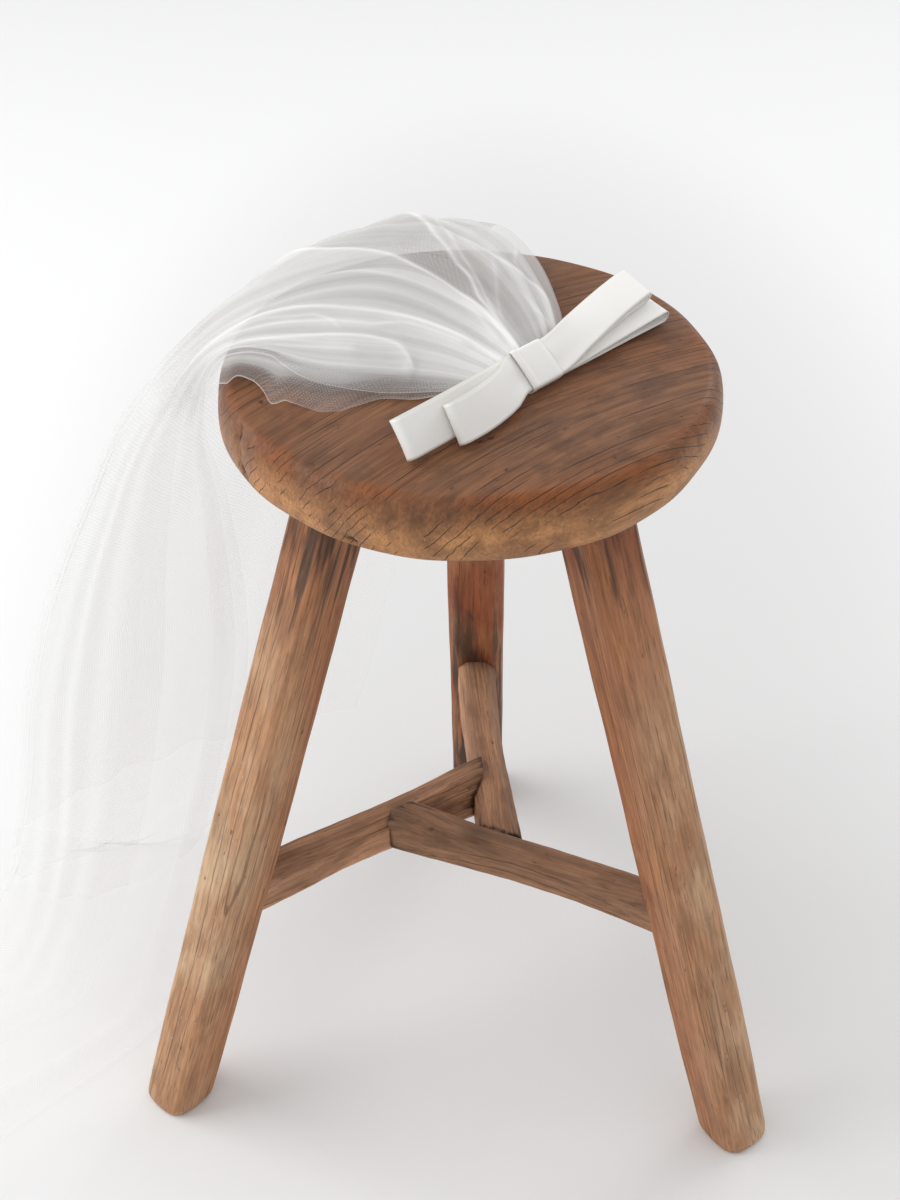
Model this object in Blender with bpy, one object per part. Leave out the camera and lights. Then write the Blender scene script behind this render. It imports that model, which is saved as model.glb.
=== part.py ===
"""A two-tier bridal veil with a flat satin bow, laid over a round three-legged wooden stool.

Metres, +Z up. Everything is worked out about the stool's own axis, with the floor at z = 0,
and an empty then carries the pieces so that the origin is the middle of the base.
"""
import math
from collections import namedtuple

import bmesh
import bpy
import numpy as np
from mathutils import Vector

# Gap between pieces that touch, and the thickness of every cloth wall
SEAM_GAP = 0.0003
CLOTH_WALL = 0.0010

# Stool: a turned elm seat, three splayed legs and three stretchers that meet in a pinwheel
SEAT_TOP = 0.542
SEAT_THICKNESS = 0.042
SEAT_RADIUS = 0.150
SEAT_FLAT_RADIUS = 0.140
SEAT_SIDES = 56
EDGE_STEPS = 6
LEG_FOOT_RADIUS = 0.2263
LEG_SPLAY = 0.2925
LEG_SIDE = 0.040
LEG_CHAMFER = 0.006
LEG_CUT_MARGIN = 0.030
STRETCHER_HEIGHT_ABOVE_FLOOR = 0.178
STRETCHER_WIDTH = 0.028
STRETCHER_DEPTH = 0.031
STRETCHER_CHAMFER = 0.005

# Bow: 24 mm ribbon made into two flat rings, pinched by a band, on a line across the seat
RIBBON_WIDTH = 0.024
BOW_TURN = math.radians(44.7)
BOW_NEAR_X = 0.0428
BOW_NEAR_Y = -0.0306
RING_LOOP_STEPS = 9
RING_KNOT_STEPS = 4
RING_END_STEPS = 6
KNOT_LENGTH = 0.025
KNOT_STACK = 0.0049
KNOT_PLEAT_LENGTH = 0.0055
KNOT_PLEAT_RISE = 0.0016
KNOT_PLEAT_SLOPE = 0.0008
KNOT_PLEAT_CREST = 1.2
KNOT_CORNER_LARGEST = 0.0012
KNOT_CORNER_BEYOND_WALL = 0.0002
KNOT_CROWN_SHARE = 0.25

# Veil: both tiers hang from one gathered line under the bow and share their folds
FOLDS = 13
COLUMNS_PER_FOLD = 5
EDGE_FOLD_SHARE = 0.15
FIRST_EDGE_EASE = 0.09
LAST_EDGE_EASE = 0.07
ROOT_UP_RIBBON = 0.0140
ROOT_UNDER_RIBBON = 0.0028
RISE_TRAVEL = 0.040
CROWN_TRAVEL = 0.100
RIM_TRAVEL = 0.170
UPPER_FIRST_COLUMN = 2
LONG_LAST_COLUMN_FROM_END = 3
FLOOR_RIDGE = 0.0012
LANDED_WALL_SHARE = 0.8
HEM_TRAVEL = 0.642
HEM_ROUNDING = 0.050
TIP_TRAVEL = 1.00
TIP_ROUNDING = 0.10
HEM_CORNER_POWER = 4
SHARED_TRAVEL = 0.57
LANDING_START = 0.700
LANDING_END = 0.760

# One row for each leg: where it stands round the stool and how its square section is turned
Leg = namedtuple("Leg", "name azimuth section_turn")
LEGS = (
    Leg("leg_left", math.radians(205.15), math.radians(20)),
    Leg("leg_right", math.radians(325.15), math.radians(-18)),
    Leg("leg_back", math.radians(87.0), math.radians(0)),
)

# One row for each stretcher: its leg, the point where its far end stops, and what it stops against
Stretcher = namedtuple("Stretcher", "name leg end_x end_y stops_on")
STRETCHERS = (
    Stretcher("stretcher_left", "leg_left", 0.017, 0.034, "stretcher_back"),
    Stretcher("stretcher_right", "leg_right", -0.045, -0.018, "stretcher_left"),
    Stretcher("stretcher_back", "leg_back", 0.026, -0.048, "stretcher_right"),
)

# One row for each place along a ring of ribbon: tilt from flat, lift off the seat, set-back from
# the bow's near line, and half the loop's thickness
RingRow = namedtuple("RingRow", "along tilt lift back middle half")
LONG_RING = (
    RingRow(-0.1110, math.radians(56), 0.0008, 0.000, 0.0035, 0.0030),
    RingRow(-0.0800, math.radians(57), 0.0010, 0.000, 0.0035, 0.0030),
    RingRow(-0.0350, math.radians(50), 0.0016, 0.000, 0.0026, 0.0020),
    RingRow(-0.0130, math.radians(40), 0.0022, 0.000, 0.00115, 0.00065),
    RingRow(0.0130, math.radians(36), 0.0022, 0.000, 0.00115, 0.00065),
    RingRow(0.0400, math.radians(24), 0.0016, 0.000, 0.0023, 0.0017),
    RingRow(0.0750, math.radians(14), 0.0010, 0.000, 0.0030, 0.0024),
    RingRow(0.1075, math.radians(10), 0.0008, 0.000, 0.0030, 0.0024),
)
SHORT_RING = (
    RingRow(-0.0800, math.radians(57), 0.0008, -0.0090, 0.0037, 0.0032),
    RingRow(-0.0550, math.radians(55), 0.0010, -0.0088, 0.0041, 0.0036),
    RingRow(-0.0320, math.radians(49), 0.0016, -0.0060, 0.0033, 0.0022),
    RingRow(-0.0130, math.radians(40), 0.0022, 0.000, 0.00375, 0.00065),
    RingRow(0.0130, math.radians(36), 0.0022, 0.000, 0.00375, 0.00065),
    RingRow(0.0400, math.radians(27), 0.0048, 0.003, 0.0064, 0.0018),
    RingRow(0.0750, math.radians(20), 0.0088, 0.008, 0.0044, 0.0024),
    RingRow(0.1050, math.radians(17), 0.0098, 0.012, 0.0036, 0.0024),
)

# One row for each guide line down the veil. The part on the seat: where it leaves the gathers
# along the bow, two places over the seat with their height, and where it crosses the rim
SeatGuide = namedtuple("SeatGuide",
                       "share along rise_x rise_y rise_h crown_x crown_y crown_h rim_turn rim_h")
SEAT_GUIDES = (
    SeatGuide(0.00, -0.040, -0.030, -0.047, 0.0039, -0.085, -0.052, 0.0039, 188.5, 0.0039),
    SeatGuide(0.15, -0.029, -0.022, -0.030, 0.0105, -0.080, -0.030, 0.0120, 184.5, 0.0070),
    SeatGuide(0.32, -0.016, -0.012, -0.010, 0.0160, -0.075, 0.005, 0.0220, 179.0, 0.0090),
    SeatGuide(0.50, -0.003, 0.004, 0.014, 0.0210, -0.055, 0.045, 0.0320, 170.0, 0.0120),
    SeatGuide(0.68, 0.010, 0.020, 0.030, 0.0230, -0.035, 0.078, 0.0340, 148.0, 0.0160),
    SeatGuide(0.85, 0.022, 0.036, 0.040, 0.0220, 0.000, 0.098, 0.0350, 115.0, 0.0170),
    SeatGuide(0.93, 0.028, 0.047, 0.043, 0.0180, 0.025, 0.104, 0.0270, 95.0, 0.0130),
    SeatGuide(1.00, 0.034, 0.054, 0.045, 0.0120, 0.046, 0.105, 0.0150, 75.0, 0.0080),
)
RIM_RADIUS = 0.147

# One row for each height that the hanging veil passes: for every guide line above, the way round
# the stool in degrees and the distance from its axis
Level = namedtuple("Level", "travel height turns radii")
LEVELS = (
    Level(0.225, 0.500, (180, 181, 180, 173, 157, 127, 104, 82),
          (0.157, 0.168, 0.188, 0.202, 0.200, 0.178, 0.171, 0.165)),
    Level(0.310, 0.420, (167, 177, 179, 172, 157, 130, 110, 91),
          (0.155, 0.182, 0.222, 0.245, 0.240, 0.203, 0.184, 0.168)),
    Level(0.450, 0.280, (160, 174, 178, 172, 159, 134, 119, 107),
          (0.158, 0.198, 0.260, 0.300, 0.290, 0.233, 0.198, 0.167)),
    Level(0.610, 0.120, (168, 176, 178, 172, 161, 141, 130, 119),
          (0.185, 0.232, 0.288, 0.332, 0.322, 0.263, 0.224, 0.188)),
    Level(0.690, 0.045, (174, 179, 179, 172, 162, 146, 137, 128),
          (0.202, 0.256, 0.312, 0.355, 0.345, 0.284, 0.246, 0.210)),
)

# One row for each line across the stretch that lies on the floor, a place for every guide line
FloorLine = namedtuple("FloorLine", "travel height xs ys")
FLOOR_LINES = (
    FloorLine(0.750, 0.004, (-0.222, -0.284, -0.338, -0.382, -0.372, -0.305, -0.262, -0.215),
              (-0.030, -0.022, 0.002, 0.047, 0.100, 0.145, 0.155, 0.160)),
    FloorLine(0.860, 0.001, (-0.305, -0.365, -0.420, -0.468, -0.462, -0.400, -0.360, -0.315),
              (-0.118, -0.080, -0.035, 0.025, 0.095, 0.150, 0.167, 0.180)),
    FloorLine(1.000, 0.001, (-0.425, -0.490, -0.550, -0.600, -0.596, -0.535, -0.495, -0.450),
              (-0.225, -0.165, -0.085, 0.005, 0.090, 0.160, 0.188, 0.210)),
)

ROW_TRAVELS = (0.0, 0.020, 0.042, 0.070, 0.100, 0.133, 0.160, 0.182, 0.205, 0.235, 0.275,
               0.325, 0.385, 0.450, 0.510, 0.570)
HEM_ROWS = 2
SKIRT_ROWS = 7

# By distance from the gathers: fold depth as a share of a fold's width, the most it may be, and how
# far the long tier lies under the upper one
FoldDepth = namedtuple("FoldDepth", "travel depth most spacing")
FOLD_DEPTHS = (
    FoldDepth(0.00, 0.12, 0.0020, 0.0014),
    FoldDepth(0.06, 0.17, 0.0060, 0.0027),
    FoldDepth(0.16, 0.17, 0.0036, 0.0027),
    FoldDepth(0.23, 0.18, 0.0045, 0.0027),
    FoldDepth(0.31, 0.20, 0.0090, 0.0027),
    FoldDepth(0.62, 0.20, 0.0140, 0.0027),
    FoldDepth(0.75, 0.06, 0.0100, 0.0027),
    FoldDepth(1.00, 0.04, 0.0100, 0.0027),
)

# How the folds wander across the cloth: the waves in its width, where the first one starts and
# its weight, for the two drifts of their places and for the swell of their height
Wander = namedtuple("Wander", "waves start weight")
FOLD_DRIFTS = (Wander(2.3, 0.6, 0.018), Wander(5.1, 2.0, 0.0054))
FOLD_SWELL = Wander(3.7, 1.1, 0.26)

Finish = namedtuple("Finish", "name colour roughness")
TULLE = Finish("tulle", (0.86, 0.87, 0.88), 0.70)
BOW_SATIN = Finish("bow_satin", (0.86, 0.84, 0.79), 0.38)
SEAT_ELM = Finish("seat_elm", (0.25, 0.13, 0.075), 0.55)
LEG_ELM = Finish("leg_elm", (0.36, 0.19, 0.10), 0.60)
STRETCHER_ELM = Finish("stretcher_elm", (0.27, 0.15, 0.085), 0.65)

# Edges that turn more sharply than this are shaded as edges
SHARP_ANGLE = math.radians(40)


def clear_scene():
    """Start from an empty scene."""
    for existing in list(bpy.data.objects):
        bpy.data.objects.remove(existing, do_unlink=True)


def plain_material(finish):
    """A Principled material of one colour."""
    material = bpy.data.materials.new(finish.name)
    material.use_nodes = True
    shader = material.node_tree.nodes["Principled BSDF"]
    shader.inputs["Base Color"].default_value = (*finish.colour, 1.0)
    shader.inputs["Roughness"].default_value = finish.roughness
    shader.inputs["Metallic"].default_value = 0.0
    return material


def mesh_object(name, points, faces, material, smooth=True):
    """A named object from points and faces, with its faces turned outward."""
    mesh = bpy.data.meshes.new(name)
    mesh.from_pydata([tuple(float(value) for value in point) for point in points], [], faces)
    model = bmesh.new()
    model.from_mesh(mesh)
    bmesh.ops.recalc_face_normals(model, faces=model.faces)
    model.to_mesh(mesh)
    model.free()
    mesh.materials.append(material)
    if smooth:
        mesh.shade_smooth()
        mesh.set_sharp_from_angle(angle=SHARP_ANGLE)
    made = bpy.data.objects.new(name, mesh)
    bpy.context.collection.objects.link(made)
    return made


def polar(turn_degrees, radius):
    """The x and y at a way round the stool's axis and a distance from it."""
    turn = np.radians(turn_degrees)
    return radius * np.cos(turn), radius * np.sin(turn)


def smooth_through(knots, values, places, steady=False):
    """Cubic Hermite curve through values at knots, with slopes from the neighbouring chords.

    A steady curve is level at a knot where its chords turn or one is level, so it never overshoots.
    An end's slope is one and a half of its chord less half of the next slope, for a free end.
    """
    knots = np.asarray(knots, dtype=float)
    values = np.asarray(values, dtype=float)
    places = np.asarray(places, dtype=float)
    spans = np.diff(knots)
    extra = (1,) * (values.ndim - 1)
    chords = np.diff(values, axis=0) / spans.reshape((-1,) + extra)
    slopes = np.empty_like(values)
    before = spans[:-1].reshape((-1,) + extra)
    after = spans[1:].reshape((-1,) + extra)
    slopes[1:-1] = (chords[:-1] * after + chords[1:] * before) / (before + after)
    if steady:
        slopes[1:-1][chords[:-1] * chords[1:] <= 0] = 0.0
    slopes[0] = 1.5 * chords[0] - 0.5 * slopes[1]
    slopes[-1] = 1.5 * chords[-1] - 0.5 * slopes[-2]
    span = np.clip(np.searchsorted(knots, places, side="right") - 1, 0, len(spans) - 1)
    part = ((places - knots[span]) / spans[span]).reshape(places.shape + extra)
    width = spans[span].reshape(places.shape + extra)
    start_share = 2 * part ** 3 - 3 * part ** 2 + 1
    start_slope = part ** 3 - 2 * part ** 2 + part
    end_slope = part ** 3 - part ** 2
    return (start_share * values[span] + start_slope * width * slopes[span]
            + (1 - start_share) * values[span + 1] + end_slope * width * slopes[span + 1])


def smooth_step(value, start, end):
    """0 before start, 1 after end, and an eased climb between."""
    part = np.clip((value - start) / (end - start), 0.0, 1.0)
    return part * part * (3.0 - 2.0 * part)


def make_seat(material):
    """Turned seat: a flat top and underside joined by an elliptical rounded edge."""
    half = SEAT_THICKNESS / 2
    overhang = SEAT_RADIUS - SEAT_FLAT_RADIUS
    profile = []
    for step in range(2 * EDGE_STEPS + 1):
        angle = math.pi / 2 - math.pi * step / (2 * EDGE_STEPS)
        radius = SEAT_FLAT_RADIUS + overhang * math.cos(angle)
        profile.append((radius, SEAT_TOP - half + half * math.sin(angle)))
    points = []
    for radius, height in profile:
        for side in range(SEAT_SIDES):
            turn = 2 * math.pi * side / SEAT_SIDES
            points.append((radius * math.cos(turn), radius * math.sin(turn), height))
    faces = [tuple(range(SEAT_SIDES))]
    for ring in range(len(profile) - 1):
        for side in range(SEAT_SIDES):
            following = (side + 1) % SEAT_SIDES
            faces.append((ring * SEAT_SIDES + side, ring * SEAT_SIDES + following,
                          (ring + 1) * SEAT_SIDES + following, (ring + 1) * SEAT_SIDES + side))
    faces.append(tuple(range((len(profile) - 1) * SEAT_SIDES, len(profile) * SEAT_SIDES)))
    return mesh_object("seat", points, faces, material)


def chamfered_section(width, depth, chamfer):
    """Eight corners of a rectangle whose corners are cut off, about its middle."""
    across = width / 2
    along = depth / 2
    return [(across, along - chamfer), (across - chamfer, along), (chamfer - across, along),
            (-across, along - chamfer), (-across, chamfer - along), (chamfer - across, -along),
            (across - chamfer, -along), (across, chamfer - along)]


def prism(name, sections, material, smooth=False):
    """A closed solid through two rings of points."""
    count = len(sections[0])
    points = [*sections[0], *sections[1]]
    faces = [tuple(range(count)), tuple(range(count, 2 * count))]
    for corner in range(count):
        following = (corner + 1) % count
        faces.append((corner, following, count + following, count + corner))
    return mesh_object(name, points, faces, material, smooth)


def leg_solid(leg, name, grow, low, high, material):
    """A leg between two level cuts: its section slides outward as it goes down."""
    section = chamfered_section(LEG_SIDE + 2 * grow, LEG_SIDE + 2 * grow, LEG_CHAMFER)
    turn = leg.azimuth + leg.section_turn
    rings = []
    for height in (low, high):
        reach = LEG_FOOT_RADIUS - LEG_SPLAY * height
        middle_x = reach * math.cos(leg.azimuth)
        middle_y = reach * math.sin(leg.azimuth)
        rings.append([(middle_x + across * math.cos(turn) - along * math.sin(turn),
                       middle_y + across * math.sin(turn) + along * math.cos(turn), height)
                      for across, along in section])
    return prism(name, rings, material)


def stretcher_solid(row, name, grow, material):
    """A straight rail from inside its leg to inside the rail that it stops on."""
    leg = next(entry for entry in LEGS if entry.name == row.leg)
    reach = LEG_FOOT_RADIUS - LEG_SPLAY * STRETCHER_HEIGHT_ABOVE_FLOOR
    start = Vector((reach * math.cos(leg.azimuth), reach * math.sin(leg.azimuth)))
    end = Vector((row.end_x, row.end_y))
    run = (end - start).normalized()
    side = Vector((-run.y, run.x))
    section = chamfered_section(STRETCHER_WIDTH + 2 * grow, STRETCHER_DEPTH + 2 * grow, STRETCHER_CHAMFER)
    rings = []
    for middle in (start - run * grow, end + run * grow):
        rings.append([(middle.x + side.x * across, middle.y + side.y * across,
                       STRETCHER_HEIGHT_ABOVE_FLOOR + along) for across, along in section])
    return prism(name, rings, material)


def cut_away(target, cutter):
    """Take the cutter's space out of the target, and keep the cutter out of the model."""
    cutter.hide_render = True
    cutter.display_type = "WIRE"
    cut = target.modifiers.new(cutter.name, "BOOLEAN")
    cut.operation = "DIFFERENCE"
    cut.solver = "EXACT"
    cut.object = cutter


def make_stool():
    """Seat, legs and stretchers, parted by the seam gap."""
    leg_wood = plain_material(LEG_ELM)
    rail_wood = plain_material(STRETCHER_ELM)
    made = [make_seat(plain_material(SEAT_ELM))]
    leg_top = SEAT_TOP - SEAT_THICKNESS - SEAM_GAP
    for leg in LEGS:
        made.append(leg_solid(leg, leg.name, 0.0, 0.0, leg_top, leg_wood))
    for row in STRETCHERS:
        rail = stretcher_solid(row, row.name, 0.0, rail_wood)
        leg = next(entry for entry in LEGS if entry.name == row.leg)
        low = STRETCHER_HEIGHT_ABOVE_FLOOR - LEG_CUT_MARGIN
        high = STRETCHER_HEIGHT_ABOVE_FLOOR + LEG_CUT_MARGIN
        cut_away(rail, leg_solid(leg, row.name + "_leg_clearance", SEAM_GAP, low, high, rail_wood))
        neighbour = next(entry for entry in STRETCHERS if entry.name == row.stops_on)
        clearance = stretcher_solid(neighbour, row.name + "_rail_clearance", SEAM_GAP, rail_wood)
        cut_away(rail, clearance)
        made.append(rail)
    return made


def bow_point(along, tilt, lift, back, up, out):
    """A place on the bow: along its line, up the ribbon's width, and out of its face."""
    line = np.array([math.cos(BOW_TURN), math.sin(BOW_TURN), 0.0])
    near = np.array([math.sin(BOW_TURN), -math.cos(BOW_TURN), 0.0])
    upward = np.array([0.0, 0.0, 1.0])
    corner = np.array([BOW_NEAR_X, BOW_NEAR_Y, SEAT_TOP])
    width_way = -near * np.cos(tilt)[..., None] + upward * np.sin(tilt)[..., None]
    face_way = near * np.sin(tilt)[..., None] + upward * np.cos(tilt)[..., None]
    return (corner + line * along[..., None] - near * back[..., None] + upward * lift[..., None]
            + width_way * up[..., None] + face_way * out[..., None])


def ribbon_slope(places):
    """Tilt and lift of the long ring's ribbon at places along the bow's line."""
    knots = [row.along for row in LONG_RING]
    table = np.array([(row.tilt, row.lift) for row in LONG_RING])
    return smooth_through(knots, table, places, steady=True).T


def ring_path(rows):
    """Places along a flattened ring: out along its face, round the end, and back behind."""
    first = rows[0].along
    last = rows[-1].along
    half_first = rows[0].half
    half_last = rows[-1].half
    knot_reach = KNOT_LENGTH / 2 + SEAM_GAP
    straight = np.concatenate([
        np.linspace(first + half_first, -knot_reach, RING_LOOP_STEPS, endpoint=False),
        np.linspace(-knot_reach, knot_reach, RING_KNOT_STEPS, endpoint=False),
        np.linspace(knot_reach, last - half_last, RING_LOOP_STEPS + 1)])
    arc = np.linspace(math.pi / 2, -math.pi / 2, RING_END_STEPS + 2)[1:-1]
    end_along = last - half_last + half_last * np.cos(arc)
    start_along = first + half_first - half_first * np.cos(arc)
    along = np.concatenate([straight, end_along, straight[::-1], start_along[::-1]])
    side = np.concatenate([np.ones(straight.size), np.sin(arc), -np.ones(straight.size), np.sin(arc)[::-1]])
    return along, side


def make_ring(name, rows, material):
    """A closed band of ribbon with square edges, carried along its flattened ring."""
    along, side = ring_path(rows)
    knots = [row.along for row in rows]
    table = np.array([(row.tilt, row.lift, row.back, row.middle, row.half) for row in rows])
    tilt, lift, back, middle, half = smooth_through(knots, table, along, steady=True).T
    path = np.stack([along, middle + half * side], axis=1)
    ahead = np.roll(path, -1, axis=0) - np.roll(path, 1, axis=0)
    ahead /= np.linalg.norm(ahead, axis=1)[:, None]
    outward = np.stack([-ahead[:, 1], ahead[:, 0]], axis=1)
    corners = []
    for offset, up in ((0.5, 0.0), (0.5, 1.0), (-0.5, 1.0), (-0.5, 0.0)):
        shifted = path + outward * offset * CLOTH_WALL
        corners.append(bow_point(shifted[:, 0], tilt, lift, back,
                                 np.full(along.size, up * RIBBON_WIDTH), shifted[:, 1]))
    count = along.size
    points = np.concatenate(corners)
    faces = []
    for corner in range(4):
        following_corner = (corner + 1) % 4
        for step in range(count):
            following = (step + 1) % count
            faces.append((corner * count + step, corner * count + following,
                          following_corner * count + following, following_corner * count + step))
    return mesh_object(name, points, faces, material)


def knot_section(inset, rise):
    """Rounded outline round the stack of ribbons, in width and thickness."""
    low_up = -SEAM_GAP - inset
    high_up = RIBBON_WIDTH + SEAM_GAP + inset
    low_out = -SEAM_GAP - inset
    high_out = KNOT_STACK + SEAM_GAP + inset + rise
    corner = min(KNOT_CORNER_LARGEST, inset + KNOT_CORNER_BEYOND_WALL)
    middle_up = (low_up + high_up) / 2
    return [(low_up, low_out + corner), (low_up, high_out - corner), (low_up + corner, high_out),
            (middle_up, high_out + KNOT_CROWN_SHARE * inset), (high_up - corner, high_out),
            (high_up, high_out - corner), (high_up, low_out + corner), (high_up - corner, low_out),
            (middle_up, low_out), (low_up + corner, low_out)]


def make_knot(material):
    """The band round the middle: a short tube with one raised pleat along its left edge."""
    half = KNOT_LENGTH / 2
    pleat_end = KNOT_PLEAT_LENGTH - half
    crest = KNOT_PLEAT_RISE * KNOT_PLEAT_CREST
    stations = [(-half, 0.0), (KNOT_PLEAT_SLOPE - half, KNOT_PLEAT_RISE),
                ((pleat_end - half) / 2, crest), (pleat_end - KNOT_PLEAT_SLOPE, KNOT_PLEAT_RISE),
                (pleat_end, 0.0), (0.0, 0.0), (half, 0.0)]
    rings = []
    for inset in (CLOTH_WALL, 0.0):
        for along, rise in stations:
            outline = knot_section(inset, rise if inset else 0.0)
            ups = np.array([up for up, _ in outline])
            outs = np.array([out for _, out in outline])
            places = np.full(ups.size, along)
            tilt, lift = ribbon_slope(places)
            rings.append(bow_point(places, tilt, lift, np.zeros(ups.size), ups, outs))
    count = len(rings[0])
    lengths = len(stations)
    points = np.concatenate(rings)
    faces = []
    for layer in range(2):
        for station in range(lengths - 1):
            start = (layer * lengths + station) * count
            for corner in range(count):
                following = (corner + 1) % count
                faces.append((start + corner, start + following,
                              start + count + following, start + count + corner))
    for station in (0, lengths - 1):
        outer = station * count
        inner = (lengths + station) * count
        for corner in range(count):
            following = (corner + 1) % count
            faces.append((outer + corner, outer + following, inner + following, inner + corner))
    return mesh_object("bow_knot_band", points, faces, material)


def make_bow():
    """Long ring behind, short ring before it, and the band that pinches both."""
    satin = plain_material(BOW_SATIN)
    return [make_ring("bow_long_loops", LONG_RING, satin),
            make_ring("bow_short_loops", SHORT_RING, satin),
            make_knot(satin)]


def guide_stations():
    """Every guide line's places, gathers to tip, as a table of stations by guide lines by x, y, z."""
    alongs = np.array([guide.along for guide in SEAT_GUIDES])
    tilt, lift = ribbon_slope(alongs)
    level = np.zeros(alongs.size)
    roots = bow_point(alongs, tilt, lift, level, level + ROOT_UP_RIBBON, level - ROOT_UNDER_RIBBON)
    rises = [(guide.rise_x, guide.rise_y, SEAT_TOP + guide.rise_h) for guide in SEAT_GUIDES]
    crowns = [(guide.crown_x, guide.crown_y, SEAT_TOP + guide.crown_h) for guide in SEAT_GUIDES]
    rims = [(*polar(guide.rim_turn, RIM_RADIUS), SEAT_TOP + guide.rim_h) for guide in SEAT_GUIDES]
    travels = [0.0, RISE_TRAVEL, CROWN_TRAVEL, RIM_TRAVEL]
    stations = [roots, rises, crowns, rims]
    for row in LEVELS:
        travels.append(row.travel)
        xs, ys = polar(np.array(row.turns), np.array(row.radii))
        stations.append(np.stack([xs, ys, np.full(xs.size, row.height)], axis=1))
    for row in FLOOR_LINES:
        travels.append(row.travel)
        stations.append(np.stack([row.xs, row.ys, np.full(len(row.xs), row.height)], axis=1))
    return np.array(travels), np.array([np.asarray(station) for station in stations])


def veil_base(shares, travels):
    """The veil without its folds, and the way each point faces: smooth across, then smooth down."""
    knots, stations = guide_stations()
    guide_shares = [guide.share for guide in SEAT_GUIDES]
    across = smooth_through(guide_shares, np.swapaxes(stations, 0, 1), shares)
    base = np.empty(travels.shape + (3,))
    for column in range(shares.size):
        base[:, column] = smooth_through(knots, across[column], travels[:, column])
    across_way = np.gradient(base, axis=1)
    down_way = np.gradient(base, axis=0)
    facing = np.cross(across_way, down_way)
    facing /= np.linalg.norm(facing, axis=2)[..., None]
    fold_width = np.linalg.norm(across_way, axis=2) * COLUMNS_PER_FOLD
    return base, facing, fold_width


def fold_wave(shares):
    """Uneven folds: a cosine whose spacing and height drift across the cloth."""
    place = shares + sum(row.weight * np.sin(2 * np.pi * row.waves * shares + row.start)
                         for row in FOLD_DRIFTS)
    swell = np.sin(2 * np.pi * FOLD_SWELL.waves * shares + FOLD_SWELL.start)
    return (1 - FOLD_SWELL.weight * (1 - swell)) * np.cos(2 * np.pi * FOLDS * place)


def tier_rows(shares, end_travel, rounding, end_rows):
    """Rows down one tier: shared with the other tier first, then easing to its rounded hem."""
    corner = np.abs(2 * shares - 1) ** HEM_CORNER_POWER
    hem = end_travel - rounding * corner
    shared = np.repeat(np.array(ROW_TRAVELS)[:, None], shares.size, axis=1)
    parts = np.linspace(0.0, 1.0, end_rows + 1)[1:, None]
    return np.concatenate([shared, SHARED_TRAVEL + (hem[None, :] - SHARED_TRAVEL) * parts])


def tier_faces(first, last, shares, travels, tiers_over):
    """Outer and under points of a tier between two columns, under as many tiers as lie over it."""
    base, facing, fold_width = veil_base(shares, travels)
    table = np.array([(row.depth, row.most, row.spacing) for row in FOLD_DEPTHS])
    depths = smooth_through([row.travel for row in FOLD_DEPTHS], table, travels, steady=True)
    wished = depths[..., 0] * fold_width
    depth = wished / np.sqrt(1 + (wished / depths[..., 1]) ** 2)
    inland = smooth_step(shares, 0.0, FIRST_EDGE_EASE)
    inland *= 1 - smooth_step(shares, 1 - LAST_EDGE_EASE, 1.0)
    edge_fade = EDGE_FOLD_SHARE + (1 - EDGE_FOLD_SHARE) * inland
    wave = fold_wave(shares)[None, :]
    landed = smooth_step(travels, LANDING_START, LANDING_END)[..., None]
    folded = base + facing * (depth * edge_fade[None, :] * wave)[..., None]
    folded = folded - facing * (tiers_over * depths[..., 2:] * (1 - landed))
    ridge = CLOTH_WALL / 2 + FLOOR_RIDGE * (1 + wave) + 0 * travels
    folded[..., 2] = (1 - landed[..., 0]) * folded[..., 2] + landed[..., 0] * ridge
    outer = folded + facing * CLOTH_WALL / 2
    under = folded - facing * CLOTH_WALL / 2
    under[..., 2] = np.maximum(under[..., 2] * (1 - landed[..., 0]), 0.0)
    least_wall = LANDED_WALL_SHARE * CLOTH_WALL * landed[..., 0]
    outer[..., 2] = np.maximum(outer[..., 2], under[..., 2] + least_wall)
    return outer[:, first:last], under[:, first:last]


def sheet_solid(name, outer, under, material):
    """A closed wall between two grids of points, split into triangles the same way all over."""
    rows, columns = outer.shape[:2]
    count = rows * columns
    points = np.concatenate([outer.reshape(-1, 3), under.reshape(-1, 3)])
    faces = []
    for row in range(rows - 1):
        for column in range(columns - 1):
            here = row * columns + column
            below = here + columns
            faces.append((here, below, below + 1))
            faces.append((here, below + 1, here + 1))
            faces.append((count + here, count + below + 1, count + below))
            faces.append((count + here, count + here + 1, count + below + 1))
    top = list(range(columns))
    right = [row * columns + columns - 1 for row in range(1, rows)]
    bottom = [(rows - 1) * columns + column for column in range(columns - 2, -1, -1)]
    left = [row * columns for row in range(rows - 2, 0, -1)]
    border = top + right + bottom + left
    for place, here in enumerate(border):
        following = border[(place + 1) % len(border)]
        faces.append((here, following, count + following))
        faces.append((here, count + following, count + here))
    return mesh_object(name, points, faces, material)


def make_veil():
    """The short upper tier over the long tier, on the same folds."""
    tulle = plain_material(TULLE)
    columns = FOLDS * COLUMNS_PER_FOLD + 1
    shares = np.linspace(0.0, 1.0, columns)
    hem_rows = tier_rows(shares, HEM_TRAVEL, HEM_ROUNDING, HEM_ROWS)
    skirt_rows = tier_rows(shares, TIP_TRAVEL, TIP_ROUNDING, SKIRT_ROWS)
    upper = tier_faces(UPPER_FIRST_COLUMN, columns, shares, hem_rows, 0)
    long = tier_faces(0, columns - LONG_LAST_COLUMN_FROM_END, shares, skirt_rows, 1)
    return [sheet_solid("veil_upper_tier", *upper, tulle),
            sheet_solid("veil_long_tier", *long, tulle)]


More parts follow.
